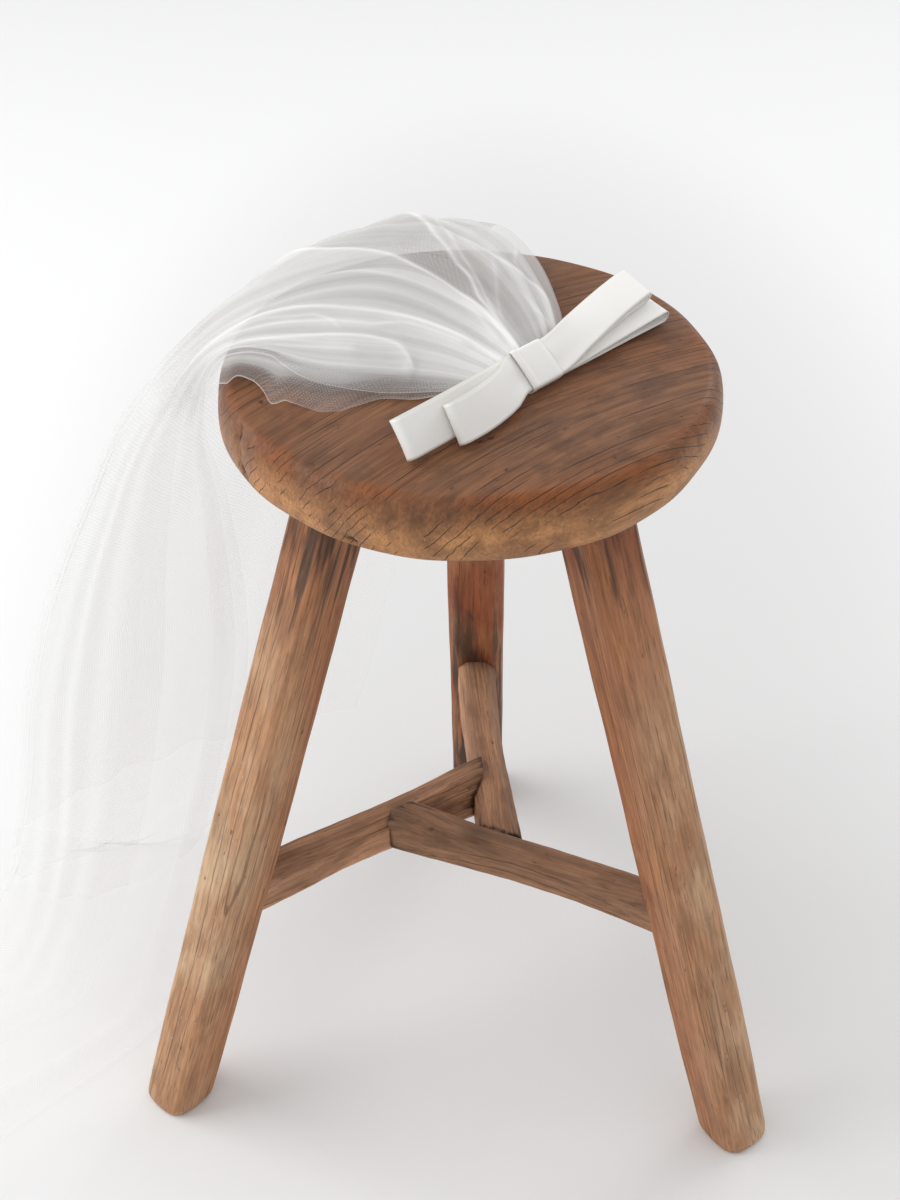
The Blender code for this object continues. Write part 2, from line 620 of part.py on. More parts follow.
def stand_on_origin(pieces):
    """Carry every piece on an empty, placed so that the base's middle is the origin."""
    bpy.context.view_layer.update()
    corners = np.array([piece.matrix_world @ vertex.co for piece in pieces
                        for vertex in piece.data.vertices])
    middle = (corners.min(axis=0) + corners.max(axis=0)) / 2
    carrier = bpy.data.objects.new("veil_on_stool", None)
    bpy.context.collection.objects.link(carrier)
    carrier.location = (-middle[0], -middle[1], 0.0)
    for item in bpy.data.objects:
        if item.type == "MESH":
            item.parent = carrier


clear_scene()
stand_on_origin(make_stool() + make_bow() + make_veil())
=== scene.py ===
import math
from collections import namedtuple

import bpy
import numpy as np
from mathutils import Matrix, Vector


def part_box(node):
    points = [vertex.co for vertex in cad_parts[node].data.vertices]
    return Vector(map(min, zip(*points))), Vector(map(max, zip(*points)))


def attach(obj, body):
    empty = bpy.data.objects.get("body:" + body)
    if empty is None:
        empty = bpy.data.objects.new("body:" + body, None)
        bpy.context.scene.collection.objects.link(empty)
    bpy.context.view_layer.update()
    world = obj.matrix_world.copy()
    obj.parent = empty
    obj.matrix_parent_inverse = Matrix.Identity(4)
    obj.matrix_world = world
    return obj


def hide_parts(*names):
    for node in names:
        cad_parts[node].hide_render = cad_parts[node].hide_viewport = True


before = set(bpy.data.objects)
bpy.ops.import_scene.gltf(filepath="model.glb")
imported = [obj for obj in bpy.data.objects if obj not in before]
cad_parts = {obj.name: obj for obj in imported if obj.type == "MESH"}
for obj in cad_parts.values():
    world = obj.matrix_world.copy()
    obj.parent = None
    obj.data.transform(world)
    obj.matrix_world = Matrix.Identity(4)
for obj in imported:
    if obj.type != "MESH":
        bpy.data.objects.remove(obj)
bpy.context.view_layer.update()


# The view: a long lens looks down on the stool from the front, with the picture upright.
# Every place below is measured from the foot of the stool's axis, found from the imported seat.
seat_low, seat_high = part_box("seat")
AXIS = np.array([(seat_low.x + seat_high.x) / 2, (seat_low.y + seat_high.y) / 2, 0.0])
CAMERA_PLACE = np.array([-0.01135, -1.016, 1.14035])
CAMERA_PITCH = math.radians(37.303)
CAMERA_ROLL = math.radians(-0.143)
LENS_MM = 60.0
FILM_MM = 36.0

level_right = np.array([1.0, 0.0, 0.0])
level_up = np.array([0.0, math.sin(CAMERA_PITCH), math.cos(CAMERA_PITCH)])
ahead = np.array([0.0, math.cos(CAMERA_PITCH), -math.sin(CAMERA_PITCH)])
right = math.cos(CAMERA_ROLL) * level_right + math.sin(CAMERA_ROLL) * level_up
up = math.cos(CAMERA_ROLL) * level_up - math.sin(CAMERA_ROLL) * level_right


def aim(thing, right_way, up_way, back_way, place):
    """Put a camera or a lamp in the scene: its three axes and its place are its matrix's columns."""
    turned = np.eye(4)
    turned[:3, :] = np.stack([right_way, up_way, back_way, place], axis=1)
    thing.matrix_world = Matrix(turned.tolist())
    bpy.context.scene.collection.objects.link(thing)


camera = bpy.data.objects.new("camera", bpy.data.cameras.new("camera"))
camera.data.lens = LENS_MM
camera.data.sensor_width = FILM_MM
aim(camera, right, up, -ahead, AXIS + CAMERA_PLACE)
bpy.context.scene.camera = camera


# The seat: one turned disc of old elm, its top worn flat and its edge rounded by use.
# The grain crosses it in long curves, and two gouges and some drying cracks cut its front edge.
SEAT_TOP = seat_high.z
SEAT_THICK = seat_high.z - seat_low.z
SEAT_RADIUS = (seat_high.x - seat_low.x) / 2
SEAT_FLAT = 0.139
SEAT_TURNS = 300
SEAT_FLAT_RINGS = 44
SEAT_EDGE_RINGS = 44
EDGE_FULLNESS = 0.86
RING_CENTRE = (0.33, -0.42)


def named_rows(columns, *rows):
    """A table: plain rows whose columns have names."""
    kind = namedtuple("Row", columns)
    return [kind(*row) for row in rows]


RIM_WAVES = named_rows("high waves start", (0.001, 3, 0.7), (0.0006, 7, 2.0), (0.0003, 17, 0.0))
SEAT_MARKS = named_rows(
    "x1 y1 z1 x2 y2 z2 wide deep dark",
    (-0.13, -0.065, 0.538, -0.127, -0.076, 0.512, 0.002, 0.003, 0.95),
    (-0.08, -0.115, 0.536, -0.064, -0.134, 0.505, 0.0028, 0.0042, 0.95),
    (-0.085, -0.108, 0.541, -0.072, -0.127, 0.522, 0.0016, 0.002, 0.8),
    (-0.033, -0.129, 0.541, -0.005, -0.146, 0.515, 0.0006, 0.0007, 0.85),
    (-0.005, -0.146, 0.515, 0.016, -0.148, 0.506, 0.0006, 0.0006, 0.7),
    (-0.02, -0.122, 0.542, -0.035, -0.138, 0.53, 0.0006, 0.0006, 0.75),
    (0.001, -0.143, 0.53, 0.02, -0.115, 0.542, 0.0006, 0.0007, 0.85),
    (-0.03, -0.132, 0.538, -0.01, -0.108, 0.542, 0.0005, 0.0006, 0.8),
    (0.002, -0.088, 0.542, 0.012, -0.082, 0.542, 0.0016, 0.0006, 0.8),
    (0.064, -0.042, 0.542, 0.076, -0.039, 0.542, 0.0034, 0.0003, 0.5),
    (-0.12, -0.042, 0.542, -0.115, -0.05, 0.542, 0.002, 0.0004, 0.7),
)


def grid_faces(rows, columns, round_rows=False, round_columns=False):
    """Quads between neighbours on a grid of points numbered row by row, closed where it goes round."""
    row = np.arange(rows if round_rows else rows - 1)[:, None]
    column = np.arange(columns if round_columns else columns - 1)[None, :]
    next_row = (row + 1) % rows
    next_column = (column + 1) % columns
    corners = (row * columns + column, row * columns + next_column,
               next_row * columns + next_column, next_row * columns + column)
    return np.stack([np.broadcast_to(corner, (row.size, column.size)) for corner in corners],
                    axis=-1).reshape(-1, 4)


def capped_faces(rows, columns):
    """Quads round a tube of closed rows, with one face over each end, pointing out where rows go up."""
    faces = grid_faces(rows, columns, round_columns=True).tolist()
    faces.append(list(range(columns - 1, -1, -1)))
    faces.append(list(range((rows - 1) * columns, rows * columns)))
    return faces


def make_piece(name, points, faces, finish, slot, node, **facts):
    """A smooth mesh piece in the frame, with its per-point facts as attributes, in its node's place."""
    mesh = bpy.data.meshes.new(name)
    places = np.asarray(points, dtype=float).reshape(-1, 3) + AXIS
    mesh.from_pydata(places.tolist(), [], [tuple(face) for face in faces])
    for fact, values in facts.items():
        values = np.asarray(values, dtype=np.float32)
        kind, field = ("FLOAT", "value") if values.size == len(places) else ("FLOAT_VECTOR", "vector")
        mesh.attributes.new(fact, kind, "POINT").data.foreach_set(field, values.ravel())
    mesh.shade_smooth()
    mesh.materials.append(finish.material)
    piece = bpy.data.objects.new(name, mesh)
    bpy.context.scene.collection.objects.link(piece)
    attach(piece, "root")
    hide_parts(node)
    return piece


class Link:
    """A socket of a material. Arithmetic on it adds Math nodes, so a pattern reads as a formula."""

    def __init__(self, finish, socket):
        self.finish = finish
        self.socket = socket

    def math(self, operation, first, second=0.0):
        return self.finish.add("ShaderNodeMath", {"operation": operation}, {0: first, 1: second})

    def __add__(self, other):
        return self.math("ADD", self, other)

    def __radd__(self, other):
        return self.math("ADD", other, self)

    def __sub__(self, other):
        return self.math("SUBTRACT", self, other)

    def __rsub__(self, other):
        return self.math("SUBTRACT", other, self)

    def __mul__(self, other):
        return self.math("MULTIPLY", self, other)

    def __rmul__(self, other):
        return self.math("MULTIPLY", other, self)

    def sine(self):
        return self.math("SINE", self)

    def size(self):
        return self.math("ABSOLUTE", self)

    def least(self, other):
        return self.math("MINIMUM", self, other)

    def most(self, other):
        return self.math("MAXIMUM", self, other)

    def between(self, low, high):
        """0 at low, 1 at high, eased between."""
        return self.finish.add("ShaderNodeMapRange", {"interpolation_type": "SMOOTHSTEP"},
                               {"Value": self, "From Min": low, "From Max": high})


class Finish:
    """A Principled material with one way of adding any other node to it."""

    def __init__(self, name, **constants):
        self.material = bpy.data.materials.new(name)
        self.material.use_nodes = True
        self.shader = self.material.node_tree.nodes["Principled BSDF"]
        for socket, value in constants.items():
            self.shader.inputs[socket.replace("_", " ")].default_value = value

    def add(self, kind, settings, inputs, output=0):
        """A node of this kind with its settings made first, then its sockets filled or linked."""
        node = self.material.node_tree.nodes.new(kind)
        for name, value in settings.items():
            setattr(node, name, value)
        for name, value in inputs.items():
            self.fill(node.inputs[name], value)
        return Link(self, node.outputs[output])

    def fill(self, socket, value):
        """Link a socket, or set its value."""
        if isinstance(value, Link):
            self.material.node_tree.links.new(value.socket, socket)
        else:
            socket.default_value = value

    def give(self, **sockets):
        """Links into the shader itself."""
        for socket, value in sockets.items():
            self.fill(self.shader.inputs[socket.replace("_", " ")], value)

    def fact(self, name, output="Fac"):
        """A number kept at each point of the piece, or a vector."""
        return self.add("ShaderNodeAttribute", {"attribute_name": name}, {}, output)

    def part(self, vector, letter):
        """The X, Y or Z of a vector."""
        return self.add("ShaderNodeSeparateXYZ", {}, {0: vector}, letter)

    def mix(self, share, first, second):
        """The first colour where share is 0 and the second where it is 1."""
        return self.add("ShaderNodeMix", {"data_type": "RGBA"}, {0: share, 6: first, 7: second}, 2)

    def noise(self, place, stretch, detail, start):
        """Cloudy noise from 0 to 1, with so many patches a metre along each part of place."""
        moved = self.add("ShaderNodeVectorMath", {"operation": "MULTIPLY_ADD"},
                         {0: place, 1: stretch, 2: (start, start, start)})
        return self.add("ShaderNodeTexNoise", {}, {"Vector": moved, "Scale": 1.0, "Detail": detail})

    def bump(self, height, distance, strength):
        """A normal from a height of 0 to 1 times the distance."""
        return self.add("ShaderNodeBump", {}, {"Height": height, "Distance": distance,
                                               "Strength": strength})


def elm(name, pale, deep, stain_and_shade_colour, rubbed_and_lit, roughness, shine, aged):
    """Old elm: fine fibres, soft bands, thin dark cracks and short pores along the grain, and wear.

    The grain attribute holds the two ways across the grain and the way along it, in metres. Cracks
    lie where a sine of both ways across, shifted by slow noise, passes zero. The dark attribute holds
    dark marks, and on the legs painted shade under the seat; it darkens the softer bands first. The
    attribute for staining also carries painted shade on the legs, and the one for worn places also
    carries painted light on the legs' faces towards the lamps. An aged piece has darker cracks and
    more dirt.
    """
    finish = Finish(name, Specular_IOR_Level=shine)
    grain = finish.fact("grain", "Vector")
    fibre = finish.noise(grain, (820.0, 420.0, 34.0), 3.0, 0.0).between(0.32, 0.68)
    bands = finish.noise(grain, (230.0, 120.0, 12.0), 8.0, 5.0).between(0.32, 0.68)
    cloud = finish.noise(grain, (26.0, 26.0, 13.0), 8.0, 7.0).between(0.4, 0.62)
    dirt = finish.noise(grain, (75.0, 75.0, 38.0), 8.0, 13.0).between(0.5, 0.66)
    drift = finish.noise(grain, (34.0, 20.0, 3.0), 4.0, 11.0)
    planks = finish.part(grain, "X") * 480.0 + finish.part(grain, "Y") * 380.0
    crack = (planks + drift * 8.0).sine().size().between(0.2, 0.06)
    crack = crack * finish.noise(grain, (65.0, 40.0, 8.0), 4.0, 23.0).between(0.47, 0.55)
    pores = finish.noise(grain, (1500.0, 800.0, 60.0), 1.0, 3.0).between(0.6, 0.74)
    specks = finish.noise(grain, (230.0, 230.0, 110.0), 3.0, 17.0).between(0.68, 0.78)
    flecks = finish.noise(grain, (640.0, 640.0, 260.0), 2.0, 29.0).between(0.7, 0.76)
    wear = finish.fact("wear")
    colour = finish.mix(bands, deep, pale)
    colour = finish.mix((0.3 + 0.7 * cloud) * finish.fact("stain"), colour, stain_and_shade_colour)
    colour = finish.mix(wear * (0.35 + 0.65 * cloud), colour, rubbed_and_lit)
    dimmer = finish.mix(wear * 0.6, (0.075, 0.032, 0.016, 1.0), (0.2, 0.09, 0.042, 1.0))
    colour = finish.mix((1.0 - fibre) * 0.36, colour, dimmer)
    colour = finish.mix(dirt * (0.5 * aged), colour, dimmer)
    colour = finish.mix(pores * 0.45, colour, dimmer)
    colour = finish.mix(crack * aged, colour, (0.028, 0.015, 0.01, 1.0))
    colour = finish.mix(specks * 0.65, colour, (0.034, 0.022, 0.018, 1.0))
    colour = finish.mix(flecks * wear * 0.6, colour, (0.6, 0.5, 0.42, 1.0))
    # The dark attribute, with real dark marks and on the legs painted shade, darkens the softer bands first.
    dark_in_bands = (finish.fact("dark") * 1.6 + bands - 1.0).between(0.0, 0.6)
    colour = finish.mix(dark_in_bands * 0.85, colour, (0.034, 0.017, 0.012, 1.0))
    height = 1.0 - 0.25 * pores - 0.75 * crack - 0.2 * (1.0 - fibre) + 0.5 * cloud
    finish.give(Base_Color=colour, Roughness=roughness + 0.14 * cloud + 0.12 * pores,
                Normal=finish.bump(height, 0.0006, 0.6))
    return finish


def seat_surface():
    """Rings of points from the middle of the top, over the rounded edge, to the middle underneath.

    The edge is half an ellipse. The rim's radius and height swell by a millimetre or so round it.
    """
    turn = np.linspace(0.0, 2 * np.pi, SEAT_TURNS, endpoint=False)[None, :]
    flat = np.linspace(0.02, 1.0, SEAT_FLAT_RINGS, endpoint=False)
    bend = np.linspace(np.pi / 2, -np.pi / 2, SEAT_EDGE_RINGS)
    half = SEAT_THICK / 2
    radius = np.concatenate([SEAT_FLAT * flat, SEAT_FLAT + (SEAT_RADIUS - SEAT_FLAT) * np.cos(bend),
                             SEAT_FLAT * flat[::-1]])[:, None]
    height = np.concatenate([np.full(flat.size, half), half * np.sign(np.sin(bend))
                             * np.abs(np.sin(bend)) ** EDGE_FULLNESS,
                             np.full(flat.size, -half)])[:, None]
    outer = (radius / SEAT_RADIUS) ** 4
    swell = sum(wave.high * np.sin(wave.waves * turn + wave.start) for wave in RIM_WAVES)
    radius = radius + outer * (swell - 0.001)
    height = SEAT_TOP - half + height - 0.0006 * outer * (1 + np.sin(2 * turn + 1.0)) * np.sign(height)
    return np.stack([radius * np.cos(turn), radius * np.sin(turn), height + 0 * turn], axis=-1)


def cut_marks(points, inward, marks):
    """Sink each mark into the surface and say how dark it is: a soft trough about a short line."""
    dark = np.zeros(points.shape[:2])
    sunk = points.copy()
    for mark in marks:
        start = np.array([mark.x1, mark.y1, mark.z1])
        run = np.array([mark.x2, mark.y2, mark.z2]) - start
        share = np.clip(((points - start) @ run) / (run @ run), 0.0, 1.0)
        away = np.linalg.norm(points - start - share[..., None] * run, axis=-1)
        trough = np.exp(-(away / mark.wide) ** 2)
        sunk += inward * (trough * mark.deep)[..., None]
        dark = np.maximum(dark, np.exp(-(away / (0.8 * mark.wide)) ** 2) * mark.dark)
    return sunk, dark


seat_points = seat_surface()
inward = np.stack([-seat_points[..., 0], -seat_points[..., 1], 0 * seat_points[..., 0]], axis=-1)
inward /= np.maximum(np.linalg.norm(inward, axis=-1), 1e-6)[..., None]
on_top = np.clip((seat_points[..., 2] - (SEAT_TOP - 0.004)) / 0.004, 0.0, 1.0)[..., None]
inward = inward * (1 - on_top) + np.array([0.0, 0.0, -1.0]) * on_top
seat_points, seat_dark = cut_marks(seat_points, inward, SEAT_MARKS)
from_centre = seat_points[..., :2] - np.array(RING_CENTRE)
ring_radius = np.linalg.norm(from_centre, axis=-1)
ring_turn = np.arctan2(from_centre[..., 1], from_centre[..., 0]) * 0.5
seat_grain = np.stack([ring_radius, seat_points[..., 2], ring_turn], axis=-1)
rim = np.linalg.norm(seat_points[..., :2], axis=-1)
below = np.clip((SEAT_TOP - 0.006 - seat_points[..., 2]) / 0.016, 0.0, 1.0)
rim_turn = np.arctan2(seat_points[..., 1], seat_points[..., 0])
seat_wear = (0.78 + 0.22 * np.cos(rim_turn + 1.35)) * below * np.clip((rim - 0.135) / 0.012, 0.0, 1.0)
edge_band = np.exp(-((rim - 0.1425) / 0.005) ** 2) * (1 - below)
seat_stain = np.clip(0.2 + 0.35 * below + 0.7 * edge_band, 0.0, 1.0)
seat_elm = elm("seat_elm_worn", pale=(0.265, 0.122, 0.058, 1.0), deep=(0.16, 0.071, 0.036, 1.0),
               stain_and_shade_colour=(0.3, 0.09, 0.022, 1.0), rubbed_and_lit=(0.62, 0.305, 0.125, 1.0),
               roughness=0.44, shine=0.28, aged=0.85)
seat_faces = [face[::-1] for face in capped_faces(seat_points.shape[0], SEAT_TURNS)]
make_piece("stool_seat", seat_points, seat_faces, seat_elm, "seat_elm", "seat",
           grain=seat_grain, wear=seat_wear, stain=seat_stain, dark=seat_dark)


# The legs: three square elm posts with planed-off corners, splayed and let into the seat.
# Each has painted shade under the seat and on the faces turned from the lamps, painted light on the faces
# towards them, tan where hands and feet have rubbed it, and it is worn round at the foot.
LEG_FOOT_RADIUS = 0.2263
LEG_SPLAY = 0.2925
LEG_SIDE = 0.04
LEG_CHAMFER = 0.006
LEG_AROUND = 96
LEG_STATIONS = 150
LEG_DENTS = 0.01
LEG_WIND = 0.006
FOOT_ROUND = 0.008
FOOT_STATIONS = 14
FOOT_NARROWED = 0.15
FOOT_CIRCLE = 0.53 * LEG_SIDE
FOOT_WORN = 0.4
FOOT_WORN_REACH = 0.03
LEG_TOP = SEAT_TOP - SEAT_THICK - 0.0003
LEGS = named_rows(
    "node azimuth turn seed pale_side wear stain soot grime",
    ("leg_left", 205.15, 20.0, 1.0, 215.0, 0.92, 0.28, 1.05, 0.02),
    ("leg_right", 325.15, -18.0, 4.0, -20.0, 0.74, 0.52, 0.62, 0.05),
    ("leg_back", 87.0, 0.0, 7.0, 90.0, 0.0, 0.65, 0.15, 0.2),
)


def post_section(width, depth, chamfer, count):
    """Places round a rectangle whose corners are planed off, each place eased towards its neighbours."""
    across = width / 2
    along = depth / 2
    corners = np.array([(across, chamfer - along), (across, along - chamfer), (across - chamfer, along),
                        (chamfer - across, along), (-across, along - chamfer),
                        (-across, chamfer - along), (chamfer - across, -along),
                        (across - chamfer, -along)])
    closed = np.concatenate([corners, corners[:1]])
    gone = np.concatenate([[0.0], np.cumsum(np.linalg.norm(np.diff(closed, axis=0), axis=1))])
    places = np.linspace(0.0, gone[-1], count, endpoint=False)
    section = np.stack([np.interp(places, gone, part) for part in closed.T], axis=1)
    return (section + 0.5 * (np.roll(section, 1, axis=0) + np.roll(section, -1, axis=0))) / 2


def smooth_step(value, start, end):
    """0 before start, 1 after end, and an eased climb between."""
    part = np.clip((value - start) / (end - start), 0.0, 1.0)
    return part * part * (3.0 - 2.0 * part)


def ripples(place, seed, *waves):
    """A sum of sines of the given numbers a metre, each shallower than the one before."""
    return sum(np.sin(2 * np.pi * wave * place + seed * (3 + step)) / (1 + step)
               for step, wave in enumerate(waves))


def leg_surface(leg):
    """Level rings of a planed post, sliding outward as they go down, dented a little, round at the foot."""
    azimuth = math.radians(leg.azimuth)
    turn = azimuth + math.radians(leg.turn)
    eased = np.concatenate([FOOT_ROUND * np.linspace(0, 1, FOOT_STATIONS, endpoint=False) ** 2,
                            np.linspace(FOOT_ROUND, LEG_TOP, LEG_STATIONS - FOOT_STATIONS)])
    height = eased[:, None]
    section = post_section(LEG_SIDE, LEG_SIDE, LEG_CHAMFER, LEG_AROUND)
    around = np.arctan2(section[:, 1], section[:, 0])[None, :]
    foot = np.clip(1 - height / FOOT_ROUND, 0.0, 1.0)
    swell = 1 - FOOT_NARROWED * (1 - np.sqrt(1 - foot ** 2))
    swell = swell + LEG_DENTS * ripples(height, leg.seed, 3.1, 7.3, 17.0)
    circle = FOOT_CIRCLE * section / np.linalg.norm(section, axis=1)[:, None]
    rounded = FOOT_WORN * np.exp(-height / FOOT_WORN_REACH)[..., None]
    section = (1 - rounded) * section + rounded * circle
    swell = swell + LEG_WIND * np.sin(2 * around + 9 * height + leg.seed) - 0.008
    across = section[..., 0] * swell
    along = section[..., 1] * swell
    reach = LEG_FOOT_RADIUS - LEG_SPLAY * height
    x = reach * math.cos(azimuth) + across * math.cos(turn) - along * math.sin(turn)
    y = reach * math.sin(azimuth) + across * math.sin(turn) + along * math.cos(turn)
    points = np.stack([x, y, height + 0 * x], axis=-1)
    grain = np.stack([across + leg.seed, along, height + 0 * x], axis=-1)
    # Painted light and shade: the face towards the lamps is painted paler and tan, over the real rubbing low
    # down, and the face turned away is painted darker with extra staining.
    facing = around + turn - math.radians(leg.pale_side)
    low = np.clip((0.46 - height) / 0.16, 0.0, 1.0)
    wear = leg.wear * (0.55 + 0.45 * np.cos(facing)) * (0.1 + 0.9 * low)
    shaded = 0.3 * (1 - np.cos(facing)) * (0.4 + 0.6 * height / LEG_TOP)
    # Painted shade: the staining also rises towards the top, under the seat.
    stain = np.clip(leg.stain + 0.65 * (1 - low) + shaded, 0.0, 1.0)
    # Darker all along by the leg's own amount, and more towards the bottom.
    leg_darkening = leg.grime * (1 + 1.5 * smooth_step(height, 0.26, 0.18))
    # Painted shade under the seat: darker towards the top of the leg.
    leg_darkening = leg_darkening + 0.62 * smooth_step(height, 0.3, LEG_TOP) ** 1.6 * leg.soot
    scuffs = np.sin(41 * height + leg.seed) * np.sin(2 * around + 17 * height + leg.seed)
    dark = leg_darkening + 4 * np.clip(scuffs - 0.96, 0, 1)
    return points, grain, wear, stain, np.clip(dark, 0.0, 1.0)


leg_elm = elm("leg_elm_waxed", pale=(0.58, 0.262, 0.108, 1.0), deep=(0.37, 0.145, 0.055, 1.0),
              stain_and_shade_colour=(0.35, 0.1, 0.04, 1.0), rubbed_and_lit=(0.67, 0.465, 0.29, 1.0),
              roughness=0.5, shine=0.3, aged=0.45)
for leg in LEGS:
    leg_points, leg_grain, leg_wear_and_light, leg_stain_and_shade, leg_dark = leg_surface(leg)
    make_piece("stool_" + leg.node, leg_points, capped_faces(leg_points.shape[0], LEG_AROUND), leg_elm,
               "leg_elm", leg.node, grain=leg_grain, wear=leg_wear_and_light, stain=leg_stain_and_shade, dark=leg_dark)


# The stretchers: three unpolished rails let into the legs, each butted against the next one's side.
# They are a little hollowed between their ends and greyed, with tan where shoes have rubbed the front.
RAIL_HEIGHT = 0.178
RAIL_WIDTH = 0.028
RAIL_DEPTH = 0.031
RAIL_CHAMFER = 0.007
RAIL_LET_IN = 0.012
RAIL_DENTS = 0.014
RAIL_AROUND = 80
RAIL_STATIONS = 90
RAILS = named_rows(
    "node leg end_x end_y skew front bow hollow lift sink seed wear grey",
    ("stretcher_left", 0, 0.0033, 0.0262, 0.529, -1, 0.0025, 0.1, 0.0045, 0.0035, 2.0, 1.0, 0.35),
    ("stretcher_right", 1, -0.0384, -0.0137, 0.647, 1, -0.0035, 0.16, 0.0035, 0.001, 5.0, 0.42, 1.0),
    ("stretcher_back", 2, 0.0233, -0.0249, 0.56, -1, -0.003, 0.08, -0.0025, 0.002, 8.0, 1.0, 0.3),
)


def rail_surface(rail):
    """A planed section carried from inside its leg to its butted end, bowed and hollowed on the way.

    The end is cut aslant and scribed to lie against the next rail's planed side. The top lifts there,
    and the underside hangs lower all along by the sink.
    """
    leg = LEGS[rail.leg]
    azimuth = math.radians(leg.azimuth)
    reach = LEG_FOOT_RADIUS - LEG_SPLAY * RAIL_HEIGHT - RAIL_LET_IN
    start = reach * np.array([math.cos(azimuth), math.sin(azimuth)])
    end = np.array([rail.end_x, rail.end_y])
    length = np.linalg.norm(end - start)
    run = (end - start) / length
    side = np.array([-run[1], run[0]])
    share = np.linspace(0.0, 1.0, RAIL_STATIONS)[:, None]
    section = post_section(RAIL_WIDTH, RAIL_DEPTH, RAIL_CHAMFER, RAIL_AROUND)
    worn = RAIL_DENTS * ripples(share * length, rail.seed, 9.0, 23.0, 61.0)
    swell = 1 - rail.hollow * np.sin(np.pi * share) ** 2 + worn
    around = np.arctan2(section[:, 1], section[:, 0])[None, :]
    dents = 1 + RAIL_DENTS * np.sin(3 * around + 46 * share * length + rail.seed)
    across = section[None, :, 0] * swell * dents + rail.bow * np.sin(np.pi * share)
    high = section[None, :, 1] * (0.4 + 0.6 * swell) * dents
    top = np.clip(0.5 + high / RAIL_DEPTH, 0.0, 1.0)
    high = high + top * rail.lift * smooth_step(share, 0.72, 1.0) - (1 - top) * rail.sink
    scribed = np.clip(np.abs(high) - (RAIL_DEPTH / 2 - RAIL_CHAMFER), 0.0, None) * share ** 8
    gone = share * length + rail.skew * across * share ** 5 + 0.8 * scribed
    flat = start + run * gone[..., None] + side * across[..., None]
    points = np.concatenate([flat, (RAIL_HEIGHT + high)[..., None]], axis=-1)
    grain = np.stack([across + rail.seed, high, gone], axis=-1)
    fore = np.clip(0.5 + rail.front * across / RAIL_WIDTH, 0.0, 1.0)
    wear = rail.wear * fore * (1 - 0.7 * top)
    stain = rail.grey * (0.2 + 0.7 * top)
    seam = np.clip((share - 0.985) / 0.012, 0.0, 1.0) + np.clip((0.14 - share) / 0.05, 0.0, 1.0) * 0.3
    dark = 0.34 * smooth_step(share, 0.78, 1.0) + 0.28 * seam
    return points, grain, wear, stain, dark + 0 * high


rail_elm = elm("stretcher_elm_grey", pale=(0.45, 0.235, 0.128, 1.0), deep=(0.26, 0.13, 0.074, 1.0),
               stain_and_shade_colour=(0.11, 0.066, 0.043, 1.0), rubbed_and_lit=(0.72, 0.385, 0.21, 1.0),
               roughness=0.6, shine=0.3, aged=0.6)
for rail in RAILS:
    rail_points, rail_grain, rail_wear, rail_stain, rail_dark = rail_surface(rail)
    make_piece("stool_" + rail.node, rail_points, capped_faces(RAIL_STATIONS, RAIL_AROUND), rail_elm,
               "stretcher_elm", rail.node, grain=rail_grain, wear=rail_wear, stain=rail_stain,
               dark=rail_dark)


# The bow's loops: two lengths of ivory satin ribbon, each joined into a flat ring and laid on edge.
# The ribbons lean back on the veil's gathers, and pucker a little where the band pinches them.
RIBBON_WIDTH = 0.024
RIBBON_WALL = 0.0006
BOW_TURN = math.radians(44.7)
BOW_NEAR = np.array([0.0428, -0.0306, SEAT_TOP])
KNOT_HALF = 0.0125
RING_STEPS = 150
RING_END_STEPS = 14
RIBBON_STEPS = 16
PUCKER_DEPTH = 0.00045
PUCKER_REACH = 0.011
CUP_DEPTH = 0.00035
RING_COLUMNS = "along tilt lift back middle half"
LONG_RING = named_rows(
    RING_COLUMNS,
    (-0.111, 56, 0.0008, 0.0, 0.005, 0.0045),
    (-0.085, 57, 0.001, 0.0, 0.0041, 0.0036),
    (-0.035, 50, 0.0016, 0.0, 0.0026, 0.002),
    (-0.013, 40, 0.0022, 0.0, 0.00115, 0.00065),
    (0.013, 36, 0.0022, 0.0, 0.00115, 0.00065),
    (0.04, 24, 0.0016, 0.0, 0.0023, 0.0017),
    (0.075, 14, 0.001, 0.0, 0.0033, 0.0027),
    (0.109, 10, 0.0008, 0.0, 0.0042, 0.0037),
)
SHORT_RING = named_rows(
    RING_COLUMNS,
    (-0.08, 57, 0.0008, -0.009, 0.0052, 0.0042),
    (-0.055, 55, 0.001, -0.0088, 0.0047, 0.0038),
    (-0.032, 49, 0.0016, -0.006, 0.0033, 0.0022),
    (-0.013, 40, 0.0022, 0.0, 0.00375, 0.00065),
    (0.013, 36, 0.0022, 0.0, 0.00375, 0.00065),
    (0.04, 27, 0.0048, 0.003, 0.0064, 0.0018),
    (0.075, 20, 0.0092, 0.008, 0.0048, 0.0026),
    (0.105, 17, 0.0104, 0.012, 0.005, 0.0036),
)


